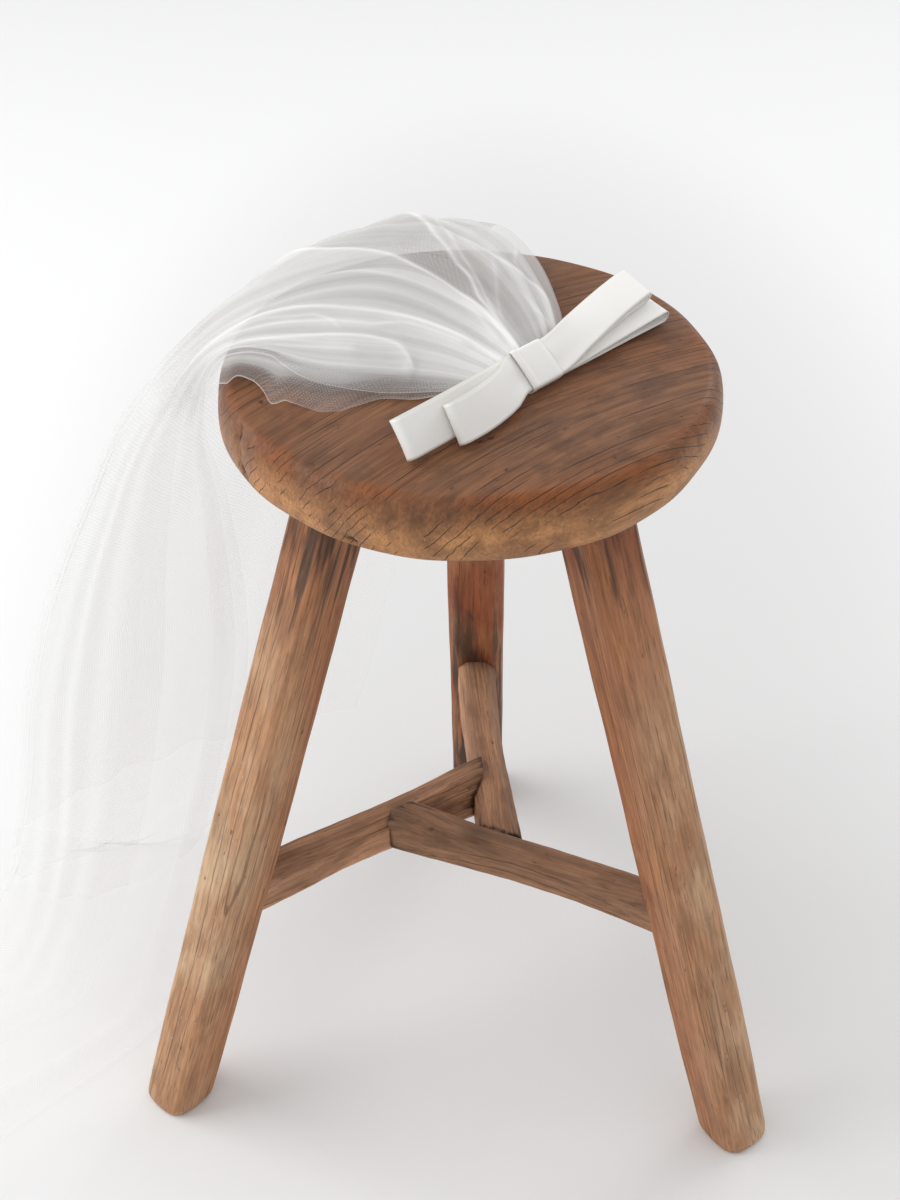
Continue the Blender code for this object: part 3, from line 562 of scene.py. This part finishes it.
def smooth_through(knots, values, places, steady=False, columns=None):
    """Cubic curve through the values at the knots, its slopes taken from the chords on either side.

    A steady curve is level at a knot where its chords turn or one is level. Where columns is given,
    values has a column for every column of places, and each is read down its own.
    """
    knots = np.asarray(knots, dtype=float)
    values = np.asarray(values, dtype=float)
    spans = np.diff(knots)
    tall = spans.reshape((-1,) + (1,) * (values.ndim - 1))
    chords = np.diff(values, axis=0) / tall
    slopes = np.empty_like(values)
    slopes[1:-1] = (chords[:-1] * tall[1:] + chords[1:] * tall[:-1]) / (tall[1:] + tall[:-1])
    if steady:
        slopes[1:-1][chords[:-1] * chords[1:] <= 0] = 0.0
    slopes[0] = 1.5 * chords[0] - 0.5 * slopes[1]
    slopes[-1] = 1.5 * chords[-1] - 0.5 * slopes[-2]
    span = np.clip(np.searchsorted(knots, places, side="right") - 1, 0, spans.size - 1)
    first = (span,) if columns is None else (span, columns)
    second = (span + 1,) if columns is None else (span + 1, columns)
    extra = (1,) * (values[first].ndim - span.ndim)
    part = ((places - knots[span]) / spans[span]).reshape(span.shape + extra)
    width = spans[span].reshape(span.shape + extra)
    left = 2 * part ** 3 - 3 * part ** 2 + 1
    return (left * values[first] + (part ** 3 - 2 * part ** 2 + part) * width * slopes[first]
            + (1 - left) * values[second] + (part ** 3 - part ** 2) * width * slopes[second])


def read_rows(rows, places):
    """A table's later columns, each read off a steady curve at places along the first column."""
    table = np.array(rows)
    return smooth_through(table[:, 0], table[:, 1:], places, steady=True)


def bow_place(along, tilt, lift, back, up, out):
    """A place on the bow: along its line, up the ribbon's width, and out of its face."""
    line = np.array([math.cos(BOW_TURN), math.sin(BOW_TURN), 0.0])
    near = np.array([math.sin(BOW_TURN), -math.cos(BOW_TURN), 0.0])
    upward = np.array([0.0, 0.0, 1.0])
    lean_cos = np.cos(np.radians(tilt))[..., None]
    lean_sin = np.sin(np.radians(tilt))[..., None]
    return (BOW_NEAR + line * along[..., None] - near * back[..., None] + upward * lift[..., None]
            + (upward * lean_sin - near * lean_cos) * up[..., None]
            + (near * lean_sin + upward * lean_cos) * out[..., None])


def ribbon_ring(rows):
    """A flattened ring of ribbon: steps round the ring by steps up its width, and the way it has gone.

    The face is cupped by a fraction of a millimetre and puckers near the band.
    """
    first = rows[0].along + rows[0].half
    last = rows[-1].along - rows[-1].half
    straight = np.linspace(first, last, RING_STEPS)
    arc = np.linspace(np.pi / 2, -np.pi / 2, RING_END_STEPS + 2)[1:-1]
    along = np.concatenate([straight, last + rows[-1].half * np.cos(arc), straight[::-1],
                            first - rows[0].half * np.cos(arc)[::-1]])
    side = np.concatenate([np.ones(RING_STEPS), np.sin(arc), -np.ones(RING_STEPS), np.sin(arc)[::-1]])
    tilt, lift, back, middle, half = read_rows(rows, along).T
    up = np.linspace(0.0, 1.0, RIBBON_STEPS)[None, :]
    from_band = np.maximum(np.abs(along) - KNOT_HALF, 0.0)[:, None]
    pucker = PUCKER_DEPTH * np.exp(-from_band / PUCKER_REACH)
    pucker = pucker * np.cos(2 * np.pi * 1.5 * up + 0.8 * np.sign(along)[:, None])
    pucker = pucker * np.clip(from_band / 0.002, 0.0, 1.0)
    cup = CUP_DEPTH * np.cos(np.pi * (up - 0.5)) * np.clip(from_band / 0.03, 0.0, 1.0)
    wave = 0.0003 * np.sin(70 * along + 3.0)[:, None] * np.sin(np.pi * up + 0.6)
    out = (middle + half * side)[:, None] + pucker + cup + wave
    spread = np.ones_like(out)
    points = bow_place(along[:, None] * spread, tilt[:, None] * spread, lift[:, None] * spread,
                       back[:, None] * spread, RIBBON_WIDTH * up * spread, out)
    steps = np.linalg.norm(np.diff(points[:, 0], axis=0, append=points[:1, 0]), axis=1)
    gone = np.concatenate([[0.0], np.cumsum(steps)[:-1]])
    return points, gone[:, None] * spread, up * RIBBON_WIDTH * spread, steps.sum()


def give_wall(piece, thickness):
    """An even wall, half to each side, with a square edge."""
    wall = piece.modifiers.new("wall", "SOLIDIFY")
    wall.thickness = thickness
    wall.offset = 0.0


satin = Finish("bow_satin_ivory", Sheen_Weight=0.25, Sheen_Roughness=0.35, Specular_IOR_Level=0.5,
               Anisotropic=0.35)
woven = satin.fact("woven", "Vector")
satin_threads = satin.noise(woven, (220.0, 5200.0, 1.0), 2.0, 0.0)
satin_clouds = satin.noise(woven, (45.0, 60.0, 1.0), 3.0, 4.0)
# Darker cream along the ribbon's edges: partly the woven selvage, partly painted shade.
satin_edge_and_shade = satin.fact("edge").between(0.001, 0.0004)
ivory = satin.mix(satin_clouds * 0.4, (0.92, 0.912, 0.888, 1.0), (0.875, 0.855, 0.8, 1.0))
ivory = satin.mix(satin_edge_and_shade * 0.4, ivory, (0.77, 0.735, 0.655, 1.0))
satin.give(Base_Color=ivory, Roughness=0.34 + 0.14 * satin_threads,
           Normal=satin.bump(satin_threads - 0.9 * satin_edge_and_shade, 0.0002, 0.28))

for ring_name, ring_node, ring_rows in (("bow_long_ribbon", "bow_long_loops", LONG_RING),
                                        ("bow_short_ribbon", "bow_short_loops", SHORT_RING)):
    ring_points, ring_gone, ring_up, ring_length = ribbon_ring(ring_rows)
    ring_faces = grid_faces(ring_points.shape[0], RIBBON_STEPS, round_rows=True)[:, ::-1]
    ring_piece = make_piece(
        ring_name, ring_points, ring_faces.tolist(), satin, "bow_satin", ring_node,
        woven=np.stack([ring_gone, ring_up, 0 * ring_up], axis=-1),
        edge=np.minimum(ring_up, RIBBON_WIDTH - ring_up))
    give_wall(ring_piece, RIBBON_WALL)


# The bow's band: a short length of the same ribbon wrapped once round both rings and sewn behind.
# It holds one raised pleat along its left edge, and its right edge presses a fine line into the loops.
KNOT_STACK = 0.0049
BAND_GAP = 0.0006
BAND_STATIONS = 64
BAND_AROUND = 96
BAND_ROWS = named_rows(
    "along rise",
    (-0.0125, 0.0002),
    (-0.0116, 0.0016),
    (-0.0098, 0.0021),
    (-0.008, 0.0014),
    (-0.0066, 0.0002),
    (-0.002, 0.0003),
    (0.005, 0.0003),
    (0.011, 0.0002),
    (0.0125, -0.0002),
)


def band_surface():
    """Rounded loops round the stack of ribbons, one for each station along the bow, raised at the pleat."""
    along = np.linspace(-KNOT_HALF, KNOT_HALF, BAND_STATIONS)[:, None]
    tilt, lift = read_rows(LONG_RING, along[:, 0]).T[:2]
    rise = read_rows(BAND_ROWS, along[:, 0])
    section = post_section(RIBBON_WIDTH + 2 * BAND_GAP, KNOT_STACK + 2 * BAND_GAP, 0.0009, BAND_AROUND)
    face = np.clip(section[:, 1] / (KNOT_STACK / 2), 0.0, 1.0)[None, :]
    crown = 0.0005 * np.cos(np.pi * section[:, 0] / (RIBBON_WIDTH + 2 * BAND_GAP))[None, :]
    up = RIBBON_WIDTH / 2 + section[None, :, 0] * (1 + 0.02 * rise / 0.002)
    out = KNOT_STACK / 2 + section[None, :, 1] + face * (rise + crown)
    spread = np.ones_like(out)
    points = bow_place(along * spread, tilt[:, None] * spread, lift[:, None] * spread, 0 * spread,
                       up * spread, out)
    steps = np.linalg.norm(np.diff(points, axis=1, append=points[:, :1]), axis=-1)
    gone = np.cumsum(steps, axis=1) - steps
    return points, gone, along * spread, steps.sum(axis=1).mean()


band_points, band_gone, band_along, band_length = band_surface()
band_faces = grid_faces(BAND_STATIONS, BAND_AROUND, round_columns=True)
band = make_piece("bow_band", band_points, band_faces.tolist(), satin, "bow_satin", "bow_knot_band",
                  woven=np.stack([band_gone, band_along, 0 * band_gone], axis=-1),
                  edge=np.minimum(band_along + KNOT_HALF, KNOT_HALF - band_along))
give_wall(band, RIBBON_WALL)


# The veil: two tiers of fine nylon net gathered on one line under the bow, the short one over the long.
# The gathers open into soft folds over the seat, hang from its left side and trail on the floor.
ROOT_UP = 0.014
ROOT_UNDER = 0.0028
SEAT_GUIDES = named_rows(
    "share along rise crown rim_turn rim_height",
    (0.0, -0.04, (-0.03, -0.047, 0.0039), (-0.085, -0.052, 0.0039), 188.5, 0.0039),
    (0.15, -0.029, (-0.022, -0.03, 0.0105), (-0.08, -0.03, 0.012), 184.5, 0.007),
    (0.32, -0.016, (-0.012, -0.01, 0.016), (-0.075, 0.005, 0.022), 179.0, 0.009),
    (0.5, -0.003, (0.004, 0.014, 0.021), (-0.055, 0.045, 0.032), 170.0, 0.012),
    (0.68, 0.01, (0.02, 0.03, 0.023), (-0.035, 0.078, 0.034), 148.0, 0.016),
    (0.85, 0.022, (0.036, 0.04, 0.022), (0.0, 0.098, 0.035), 115.0, 0.017),
    (0.93, 0.028, (0.047, 0.043, 0.018), (0.025, 0.104, 0.027), 95.0, 0.013),
    (1.0, 0.034, (0.054, 0.045, 0.012), (0.041, 0.104, 0.0155), 84.0, 0.012),
)
RIM_RADIUS = 0.147
LEVELS = named_rows(
    "travel height turns radii",
    (0.225, 0.5, (180, 181, 180, 173, 157, 127, 104, 88),
     (0.157, 0.168, 0.188, 0.202, 0.2, 0.178, 0.171, 0.165)),
    (0.31, 0.42, (167, 177, 179, 172, 157, 130, 110, 91),
     (0.155, 0.182, 0.222, 0.245, 0.24, 0.203, 0.184, 0.168)),
    (0.45, 0.28, (160, 174, 178, 172, 159, 134, 119, 107),
     (0.158, 0.198, 0.26, 0.3, 0.29, 0.233, 0.198, 0.167)),
    (0.61, 0.12, (168, 176, 178, 172, 161, 141, 130, 119),
     (0.185, 0.232, 0.288, 0.332, 0.322, 0.263, 0.224, 0.188)),
    (0.69, 0.045, (174, 179, 179, 172, 162, 146, 137, 128),
     (0.202, 0.256, 0.312, 0.355, 0.345, 0.284, 0.246, 0.21)),
)
FLOOR_LINES = named_rows(
    "travel height xs ys",
    (0.75, 0.004, (-0.222, -0.284, -0.338, -0.382, -0.372, -0.305, -0.262, -0.215),
     (-0.03, -0.022, 0.002, 0.047, 0.1, 0.145, 0.155, 0.16)),
    (0.86, 0.001, (-0.305, -0.365, -0.42, -0.468, -0.462, -0.4, -0.36, -0.315),
     (-0.118, -0.08, -0.035, 0.025, 0.095, 0.15, 0.167, 0.18)),
    (1.0, 0.001, (-0.425, -0.49, -0.55, -0.6, -0.596, -0.535, -0.495, -0.45),
     (-0.225, -0.165, -0.085, 0.005, 0.09, 0.16, 0.188, 0.21)),
)
TRAVEL_KNOTS = (0.0, 0.04, 0.1, 0.17) + tuple(row.travel for row in LEVELS + FLOOR_LINES)

FOLDS = 13
STEPS_A_FOLD = 22
*FOLD_DRIFTS, FOLD_SWELL = named_rows("waves start weight", (2.3, 0.6, 0.018), (5.1, 2.0, 0.0054),
                                      (3.7, 1.1, 0.26))
FOLD_DEPTHS = named_rows(
    "travel depth most spacing pleat ripple",
    (0.0, 0.1, 0.0016, 0.0014, 0.06, 0.0),
    (0.03, 0.07, 0.0016, 0.002, 0.045, 0.04),
    (0.06, 0.042, 0.0014, 0.0027, 0.02, 0.06),
    (0.16, 0.048, 0.0016, 0.0027, 0.01, 0.12),
    (0.23, 0.09, 0.0028, 0.0027, 0.008, 0.16),
    (0.31, 0.11, 0.0048, 0.0027, 0.006, 0.12),
    (0.62, 0.11, 0.007, 0.0027, 0.006, 0.1),
    (0.75, 0.06, 0.01, 0.0027, 0.008, 0.1),
    (1.0, 0.04, 0.01, 0.0027, 0.008, 0.1),
)
PLEATS_A_FOLD = 2.3
FLOOR_RIDGE = 0.0012
SEAT_TRAVEL = 0.18
SEAT_ROWS = 135
SHARED_TRAVEL = 0.57
DROP_ROWS = 95
HEM_TRAVEL = 0.642
HEM_ROUNDING = 0.05
HEM_ROWS = 16
TIP_TRAVEL = 1.0
TIP_ROUNDING = 0.1
TIP_ROWS = 66
LANDING_START = 0.7
LANDING_END = 0.76
CAD_COLUMNS = 65

# Creases, listed one by one: where each lies across the cloth at some distances from the gathers, how much
# thicker the net looks beside it and on its line, its height, and how far it fades to either side.
CREASES = named_rows(
    "travels shares soft line height low high",
    ((0.0, 0.024, 0.048, 0.064, 0.082, 0.108, 0.14, 0.156, 0.2, 0.26),
     (0.47, 0.512, 0.533, 0.546, 0.562, 0.608, 0.675, 0.708, 0.74, 0.75),
     0.2, 0.2, 0.003, 0.017, 0.0012),
    ((0.018, 0.026, 0.046, 0.06, 0.09, 0.12, 0.16),
     (0.465, 0.475, 0.504, 0.5, 0.505, 0.53, 0.56), 0.03, 0.08, 0.0006, 0.003, 0.004),
    ((0.005, 0.024, 0.056, 0.094, 0.114, 0.132, 0.146, 0.158, 0.2, 0.26),
     (0.375, 0.375, 0.371, 0.367, 0.375, 0.388, 0.392, 0.371, 0.34, 0.33),
     0.18, 0.17, 0.0026, 0.014, 0.0012),
    ((0.098, 0.108, 0.114, 0.128, 0.146, 0.165),
     (0.3, 0.333, 0.346, 0.35, 0.362, 0.355), 0.02, 0.1, 0.0006, 0.003, 0.0012),
    ((0.03, 0.048, 0.07, 0.084, 0.11, 0.138, 0.175),
     (0.352, 0.35, 0.346, 0.321, 0.321, 0.325, 0.31), 0.05, 0.1, 0.001, 0.006, 0.0012),
    ((0.05, 0.056, 0.064, 0.076, 0.102, 0.112, 0.13, 0.148, 0.185),
     (0.142, 0.204, 0.254, 0.275, 0.279, 0.271, 0.254, 0.242, 0.21),
     0.1, 0.12, 0.0018, 0.01, 0.0012),
    ((0.085, 0.124, 0.144, 0.158, 0.185),
     (0.229, 0.221, 0.196, 0.163, 0.11), 0.08, 0.08, 0.001, 0.009, 0.0012),
    ((0.005, 0.02, 0.036, 0.046, 0.06, 0.072, 0.082, 0.098, 0.118, 0.145, 0.2),
     (0.505, 0.525, 0.55, 0.571, 0.637, 0.671, 0.708, 0.754, 0.81, 0.85, 0.87),
     0.17, 0.2, 0.003, 0.0012, 0.013),
    ((0.028, 0.038, 0.048, 0.06, 0.074, 0.084, 0.106, 0.14),
     (0.55, 0.575, 0.617, 0.671, 0.717, 0.75, 0.808, 0.87), 0.04, 0.13, 0.001, 0.0012, 0.005),
    ((0.012, 0.028, 0.038, 0.046, 0.056, 0.066, 0.08, 0.11),
     (0.912, 0.914, 0.912, 0.892, 0.858, 0.825, 0.804, 0.79), 0.14, 0.11, 0.002, 0.015, 0.0012),
    ((0.01, 0.02, 0.026, 0.038, 0.056, 0.08),
     (0.54, 0.554, 0.562, 0.633, 0.758, 0.84), 0.06, 0.07, 0.0008, 0.004, 0.006),
    ((0.014, 0.022, 0.028, 0.036, 0.052),
     (0.872, 0.867, 0.833, 0.821, 0.8), 0.05, 0.07, 0.0008, 0.005, 0.0014),
    ((0.052, 0.058, 0.066, 0.08, 0.095),
     (0.864, 0.871, 0.879, 0.912, 0.925), 0.02, 0.1, 0.0005, 0.0012, 0.0012),
)
CREASE_LINE = 0.0014

# The front edges of both tiers wander over the seat. By distance from the gathers, how far each lies
# inside its plain line: the long tier's, then the upper one's.
FRONT_EDGES = named_rows(
    "travel long upper",
    (0.0, 0.0, 0.0),
    (0.026, 0.002, 0.0),
    (0.04, 0.0008, 0.0),
    (0.062, 0.0036, 0.0012),
    (0.076, 0.0, 0.004),
    (0.092, -0.005, 0.0072),
    (0.106, -0.003, 0.0095),
    (0.119, -0.0022, 0.0122),
    (0.127, -0.008, 0.0155),
    (0.133, -0.002, 0.018),
    (0.142, 0.0024, 0.0172),
    (0.152, 0.002, 0.014),
    (0.163, -0.0056, 0.0095),
    (0.178, -0.004, 0.0025),
    (0.21, 0.0, 0.0),
    (1.0, 0.0, 0.0),
)
EDGE_REACH = 0.22


def guide_places():
    """The guide lines' places, gathers to tip: stations by guide lines by x, y, z."""
    along = np.array([guide.along for guide in SEAT_GUIDES])
    tilt, lift = read_rows(LONG_RING, along).T[:2]
    level = np.zeros(along.size)
    stations = [bow_place(along, tilt, lift, level, level + ROOT_UP, level - ROOT_UNDER)]
    for spots in ([guide.rise for guide in SEAT_GUIDES], [guide.crown for guide in SEAT_GUIDES]):
        stations.append(np.array(spots) + np.array([0.0, 0.0, SEAT_TOP]))
    rim = (RIM_RADIUS, [guide.rim_turn for guide in SEAT_GUIDES],
           SEAT_TOP + np.array([guide.rim_height for guide in SEAT_GUIDES]))
    for radii, degrees, height in [rim] + [(row.radii, row.turns, row.height) for row in LEVELS]:
        turns = np.radians(degrees)
        stations.append(np.stack([radii * np.cos(turns), radii * np.sin(turns), height + level], axis=1))
    for row in FLOOR_LINES:
        stations.append(np.stack([row.xs, row.ys, row.height + level], axis=1))
    return np.array(stations)


def tier_travels(shares, end_travel, rounding, end_rows):
    """Distances from the gathers: the same down both tiers, then easing to a hem with rounded corners."""
    hem = end_travel - rounding * np.abs(2 * shares - 1) ** 4
    shared = np.concatenate([np.linspace(0.0, SEAT_TRAVEL, SEAT_ROWS, endpoint=False),
                             np.linspace(SEAT_TRAVEL, SHARED_TRAVEL, DROP_ROWS)])
    parts = np.linspace(0.0, 1.0, end_rows + 1)[1:, None]
    return np.concatenate([np.repeat(shared[:, None], shares.size, axis=1),
                           SHARED_TRAVEL + (hem[None, :] - SHARED_TRAVEL) * parts])


def crease_marks(shares, travels, width, slip):
    """How much thicker the net looks, and how high it stands, from every crease.

    Away from a crease both fade by exp(-distance / reach), with a reach of its own on each side.
    A fine line lies on the crease itself, exp(-(distance / line width) squared).
    """
    thicker = np.zeros_like(travels)
    raised = np.zeros_like(travels)
    for crease in CREASES:
        where = smooth_through(crease.travels, crease.shares, travels, steady=True)
        away = (shares[None, :] - where - slip) * width
        fade = np.where(away > 0, np.exp(-np.abs(away) / crease.high), np.exp(-np.abs(away) / crease.low))
        first = crease.travels[0]
        last = crease.travels[-1]
        ends = smooth_step(travels, first - 0.004, first + 0.006)
        ends = ends * (1 - smooth_step(travels, last - 0.35 * (last - first), last))
        line = np.exp(-(away / CREASE_LINE) ** 2)
        thicker += ends * (crease.soft * fade + crease.line * line)
        spread = 1.5 * CREASE_LINE + 0.45 * max(crease.low, crease.high)
        raised += ends * crease.height * np.exp(-(away / spread) ** 2)
    return thicker, raised


def tier_surface(shares, travels, tier):
    """One tier: a base smooth across and down, moved along its normal by folds, pleats and creases.

    Folds are cosines of wandering width. Pleats are finer and fade away from the gathers. Ripples
    slide across the folds on their way down. The front edge is slid across the cloth by its own table.
    """
    across = smooth_through([guide.share for guide in SEAT_GUIDES], np.swapaxes(guide_places(), 0, 1), shares)
    base = smooth_through(TRAVEL_KNOTS, np.swapaxes(across, 0, 1), travels, columns=np.arange(shares.size))
    across_way = np.gradient(base, axis=1)
    steps = np.linalg.norm(across_way, axis=2)
    facing = np.cross(across_way, np.gradient(base, axis=0))
    facing /= np.linalg.norm(facing, axis=2)[..., None]
    slid = read_rows(FRONT_EDGES, travels)[..., tier.edge]
    near_edge = (1 - smooth_step(shares, tier.first, tier.first + EDGE_REACH))[None, :]
    base = base + across_way / steps[..., None] * (slid * near_edge)[..., None]
    fold_width = steps * STEPS_A_FOLD
    depths = read_rows(FOLD_DEPTHS, travels)
    depth = depths[..., 0] * fold_width
    depth = depth / np.sqrt(1 + (depth / depths[..., 1]) ** 2)
    inland = smooth_step(shares, 0.0, 0.09) * (1 - smooth_step(shares, 0.93, 1.0))
    place = shares + sum(row.weight * np.sin(2 * np.pi * row.waves * shares + row.start)
                         for row in FOLD_DRIFTS)
    swell = np.sin(2 * np.pi * FOLD_SWELL.waves * shares + FOLD_SWELL.start)
    folds = (1 - FOLD_SWELL.weight * (1 - swell)) * np.cos(2 * np.pi * FOLDS * place)
    slide = 0.9 * np.sin(2 * np.pi * (1.3 * shares + 2.1 * travels) + tier.seed)
    pleats = (0.6 + 0.4 * np.sin(2 * np.pi * 5.3 * shares + tier.seed))
    pleats = pleats * np.cos(2 * np.pi * PLEATS_A_FOLD * FOLDS * place + slide)
    ripple = np.cos(2 * np.pi * (0.7 * FOLDS * place + 2.4 * travels) + 1.4 * slide + tier.seed)
    pleat_depth = depths[..., 3] * fold_width / PLEATS_A_FOLD
    ripple_depth = np.minimum(depths[..., 4] * depth, 0.002)
    thicker, raised = crease_marks(shares, travels, steps * (shares.size - 1), tier.slip)
    moved = (depth * (0.15 + 0.85 * inland) * folds
             + (pleat_depth * pleats + ripple_depth * ripple) * inland + raised)
    landed = smooth_step(travels, LANDING_START, LANDING_END)
    points = base + facing * moved[..., None]
    points = points - facing * (tier.over * depths[..., 2] * (1 - landed))[..., None]
    ridge = 0.0005 + FLOOR_RIDGE * (1 + folds)[None, :]
    points[..., 2] = (1 - landed) * points[..., 2] + landed * ridge
    return points, thicker, folds[None, :] + 0 * travels


# How thick the net looks, as the share of what lies behind that it hides, by its place across the
# cloth: at the gathers, over the seat, at the rim, down the drop and at the tip.
COVERS = named_rows(
    "share root seat rim hang tip",
    (0.0, 0.4, 0.18, 0.14, 0.1, 0.11),
    (0.08, 0.52, 0.24, 0.26, 0.11, 0.11),
    (0.17, 0.64, 0.66, 0.54, 0.12, 0.12),
    (0.35, 0.66, 0.63, 0.54, 0.12, 0.12),
    (0.5, 0.62, 0.57, 0.58, 0.12, 0.12),
    (0.6, 0.56, 0.42, 0.62, 0.12, 0.12),
    (0.72, 0.56, 0.4, 0.62, 0.12, 0.12),
    (0.82, 0.6, 0.58, 0.6, 0.11, 0.12),
    (0.93, 0.58, 0.6, 0.5, 0.1, 0.11),
    (1.0, 0.54, 0.54, 0.44, 0.09, 0.1),
)
COVER_TRAVELS = (0.0, 0.07, 0.17, 0.228, 1.0)
THREAD_GAP = 0.0017
HEM_COVER = 0.04

# A bright line on the front edge, strongest where it curls up off the seat.
EDGE_COVER = 0.45
EDGE_LINE = 0.001
(CURL,) = named_rows("start full fade end least", (0.105, 0.125, 0.17, 0.215, 0.35))


def tulle(name):
    """Fine net: clear with white threads, thicker to the eye where it is gathered, creased or folded.

    Threads lie on three sets of lines that cross at 60 degrees, where a sine across each set is zero.
    Where the net is thick its colour is painted greyer as shade of its own layers, and where thin,
    whiter as painted light.
    """
    finish = Finish(name, Roughness=0.62, Specular_IOR_Level=0.3, Sheen_Weight=0.15, Sheen_Roughness=0.5)
    flat = finish.fact("woven", "Vector")
    across = finish.part(flat, "X")
    down = finish.part(flat, "Y")
    turns = math.pi / THREAD_GAP
    threads = None
    for slant in (0.0, math.pi / 3, 2 * math.pi / 3):
        line = (across * (turns * math.cos(slant)) + down * (turns * math.sin(slant))).sine().size()
        line = line.between(0.3, 0.05)
        threads = line if threads is None else threads.most(line)
    streaks = finish.noise(flat, (0.0, 6.0, 46.0), 3.0, 2.0).between(0.25, 0.75)
    cover = finish.fact("cover")
    mesh = (threads - 0.5) * cover.between(0.55, 0.22)
    alpha = cover * (0.88 + 0.22 * streaks) * (1.0 + 1.2 * mesh)
    # Painted shade and light: greyer where the net is thick, for the shade its layers cast on each other, and
    # whiter where it is thin and hangs in the light.
    white = finish.mix(cover.between(0.45, 0.85), (0.7, 0.692, 0.68, 1.0), (0.89, 0.886, 0.878, 1.0))
    white = finish.mix(cover.between(0.24, 0.13), white, (0.93, 0.928, 0.922, 1.0))
    finish.give(Base_Color=white, Alpha=alpha.most(0.02).least(0.97))
    return finish


tier_tulle = tulle("tulle_fine_net")
columns = FOLDS * STEPS_A_FOLD + 1
all_shares = np.linspace(0.0, 1.0, columns)
Tier = namedtuple("Tier", "name node end rounding rows first last over slip edge seed cover crease flat "
                          "rests")
TIERS = (
    Tier("veil_long_net", "veil_long_tier", TIP_TRAVEL, TIP_ROUNDING, TIP_ROWS, first=0.0,
         last=62 / CAD_COLUMNS, over=1, slip=0.013, edge=0, seed=0.3, cover=1.0, crease=0.48,
         flat=(0.46, 1.0), rests=["stool_seat"]),
    Tier("veil_upper_net", "veil_upper_tier", HEM_TRAVEL, HEM_ROUNDING, HEM_ROWS, first=2 / CAD_COLUMNS,
         last=1.0, over=0, slip=0.0, edge=1, seed=0.8, cover=0.95, crease=0.86,
         flat=(0.5, 0.64), rests=["veil_long_net"]),
)
for tier in TIERS:
    kept = (all_shares >= tier.first - 1e-6) & (all_shares <= tier.last + 1e-6)
    tier_rows = tier_travels(all_shares, tier.end, tier.rounding, tier.rows)
    tier_points, tier_thicker, tier_folds = tier_surface(all_shares, tier_rows, tier)
    by_share = read_rows(COVERS, all_shares).T
    tier_cover = smooth_through(COVER_TRAVELS, by_share, tier_rows, steady=True, columns=np.arange(columns))
    tier_cover = tier_cover * tier.cover * (1 + 0.09 * tier_folds) + tier.crease * tier_thicker
    widths = np.linalg.norm(np.diff(tier_points, axis=1, prepend=tier_points[:, :1]), axis=2)
    woven_across = np.cumsum(widths, axis=1)
    tier_points = tier_points[:, kept]
    tier_cover = tier_cover[:, kept]
    from_edge = woven_across[:, kept] - woven_across[:, kept][:, :1]
    turned_up = CURL.least + (1 - CURL.least) * smooth_step(tier_rows[:, kept], CURL.start, CURL.full)
    turned_up = turned_up * (1 - smooth_step(tier_rows[:, kept], CURL.fade, CURL.end))
    tier_cover += EDGE_COVER * turned_up * np.exp(-(from_edge / EDGE_LINE) ** 2)
    tier_cover[:, :1] += HEM_COVER
    tier_cover[:, -1:] += HEM_COVER
    tier_cover[-1:] += HEM_COVER
    made = make_piece(tier.name, tier_points,
                      grid_faces(tier_points.shape[0], tier_points.shape[1])[:, ::-1].tolist(),
                      tier_tulle, "tulle", tier.node,
                      woven=np.stack([woven_across, tier_rows, all_shares + 0 * tier_rows], axis=-1)[:, kept],
                      cover=tier_cover)


# The room: a pale floor without a horizon, with painted shade darkening it behind the stool, and soft
# studio light from all round. One broad light stands behind on the right and one in front on the left.
FLOOR_HALF = 9.0
FLOOR_LEVEL = -0.0006
DAYLIGHT = 0.72
floor_mesh = bpy.data.meshes.new("floor")
floor_mesh.from_pydata([(x * FLOOR_HALF, y * FLOOR_HALF, FLOOR_LEVEL)
                        for x, y in ((-1, -1), (1, -1), (1, 1), (-1, 1))], [], [(0, 1, 2, 3)])
floor = bpy.data.objects.new("floor", floor_mesh)
bpy.context.scene.collection.objects.link(floor)
paper = Finish("floor_paper", Roughness=0.85, Specular_IOR_Level=0.15)
paper_place = paper.add("ShaderNodeTexCoord", {}, {}, "Object")
paper_across = (paper.part(paper_place, "X") - 0.26) * (1 / 0.55)
paper_along = (paper.part(paper_place, "Y") - 0.6) * (1 / 1.1)
# Painted shade: the floor is painted darker in a broad oval patch behind the stool, where the light falls
# off.
painted_floor_shade = (paper_across * paper_across + paper_along * paper_along).between(1.0, 0.0)
paper.give(Base_Color=paper.mix(painted_floor_shade, (0.87, 0.872, 0.874, 1.0), (0.73, 0.728, 0.728, 1.0)))
floor_mesh.materials.append(paper.material)

world = bpy.data.worlds.new("studio")
world.use_nodes = True
sky = world.node_tree.nodes["Background"]
sky.inputs["Color"].default_value = (1.0, 1.0, 1.0, 1.0)
sky.inputs["Strength"].default_value = DAYLIGHT
bpy.context.scene.world = world
bpy.context.scene.view_settings.view_transform = "Standard"

LAMPS = named_rows(
    "name place target size power",
    ("window_left", (-2.3, 0.3, 1.9), (-0.1, 0.2, 0.3), 2.4, 46.0),
    ("window_back_right", (1.5, 1.7, 1.9), (0.0, 0.0, 0.4), 1.4, 14.0),
)
for lamp in LAMPS:
    light = bpy.data.lights.new(lamp.name, "AREA")
    light.shape = "SQUARE"
    light.size = lamp.size
    light.energy = lamp.power
    at = np.array(lamp.place) + AXIS
    back = at - (np.array(lamp.target) + AXIS)
    back /= np.linalg.norm(back)
    side_way = np.cross([0.0, 0.0, 1.0], back)
    side_way /= np.linalg.norm(side_way)
    aim(bpy.data.objects.new(lamp.name, light), side_way, np.cross(back, side_way), back, at)
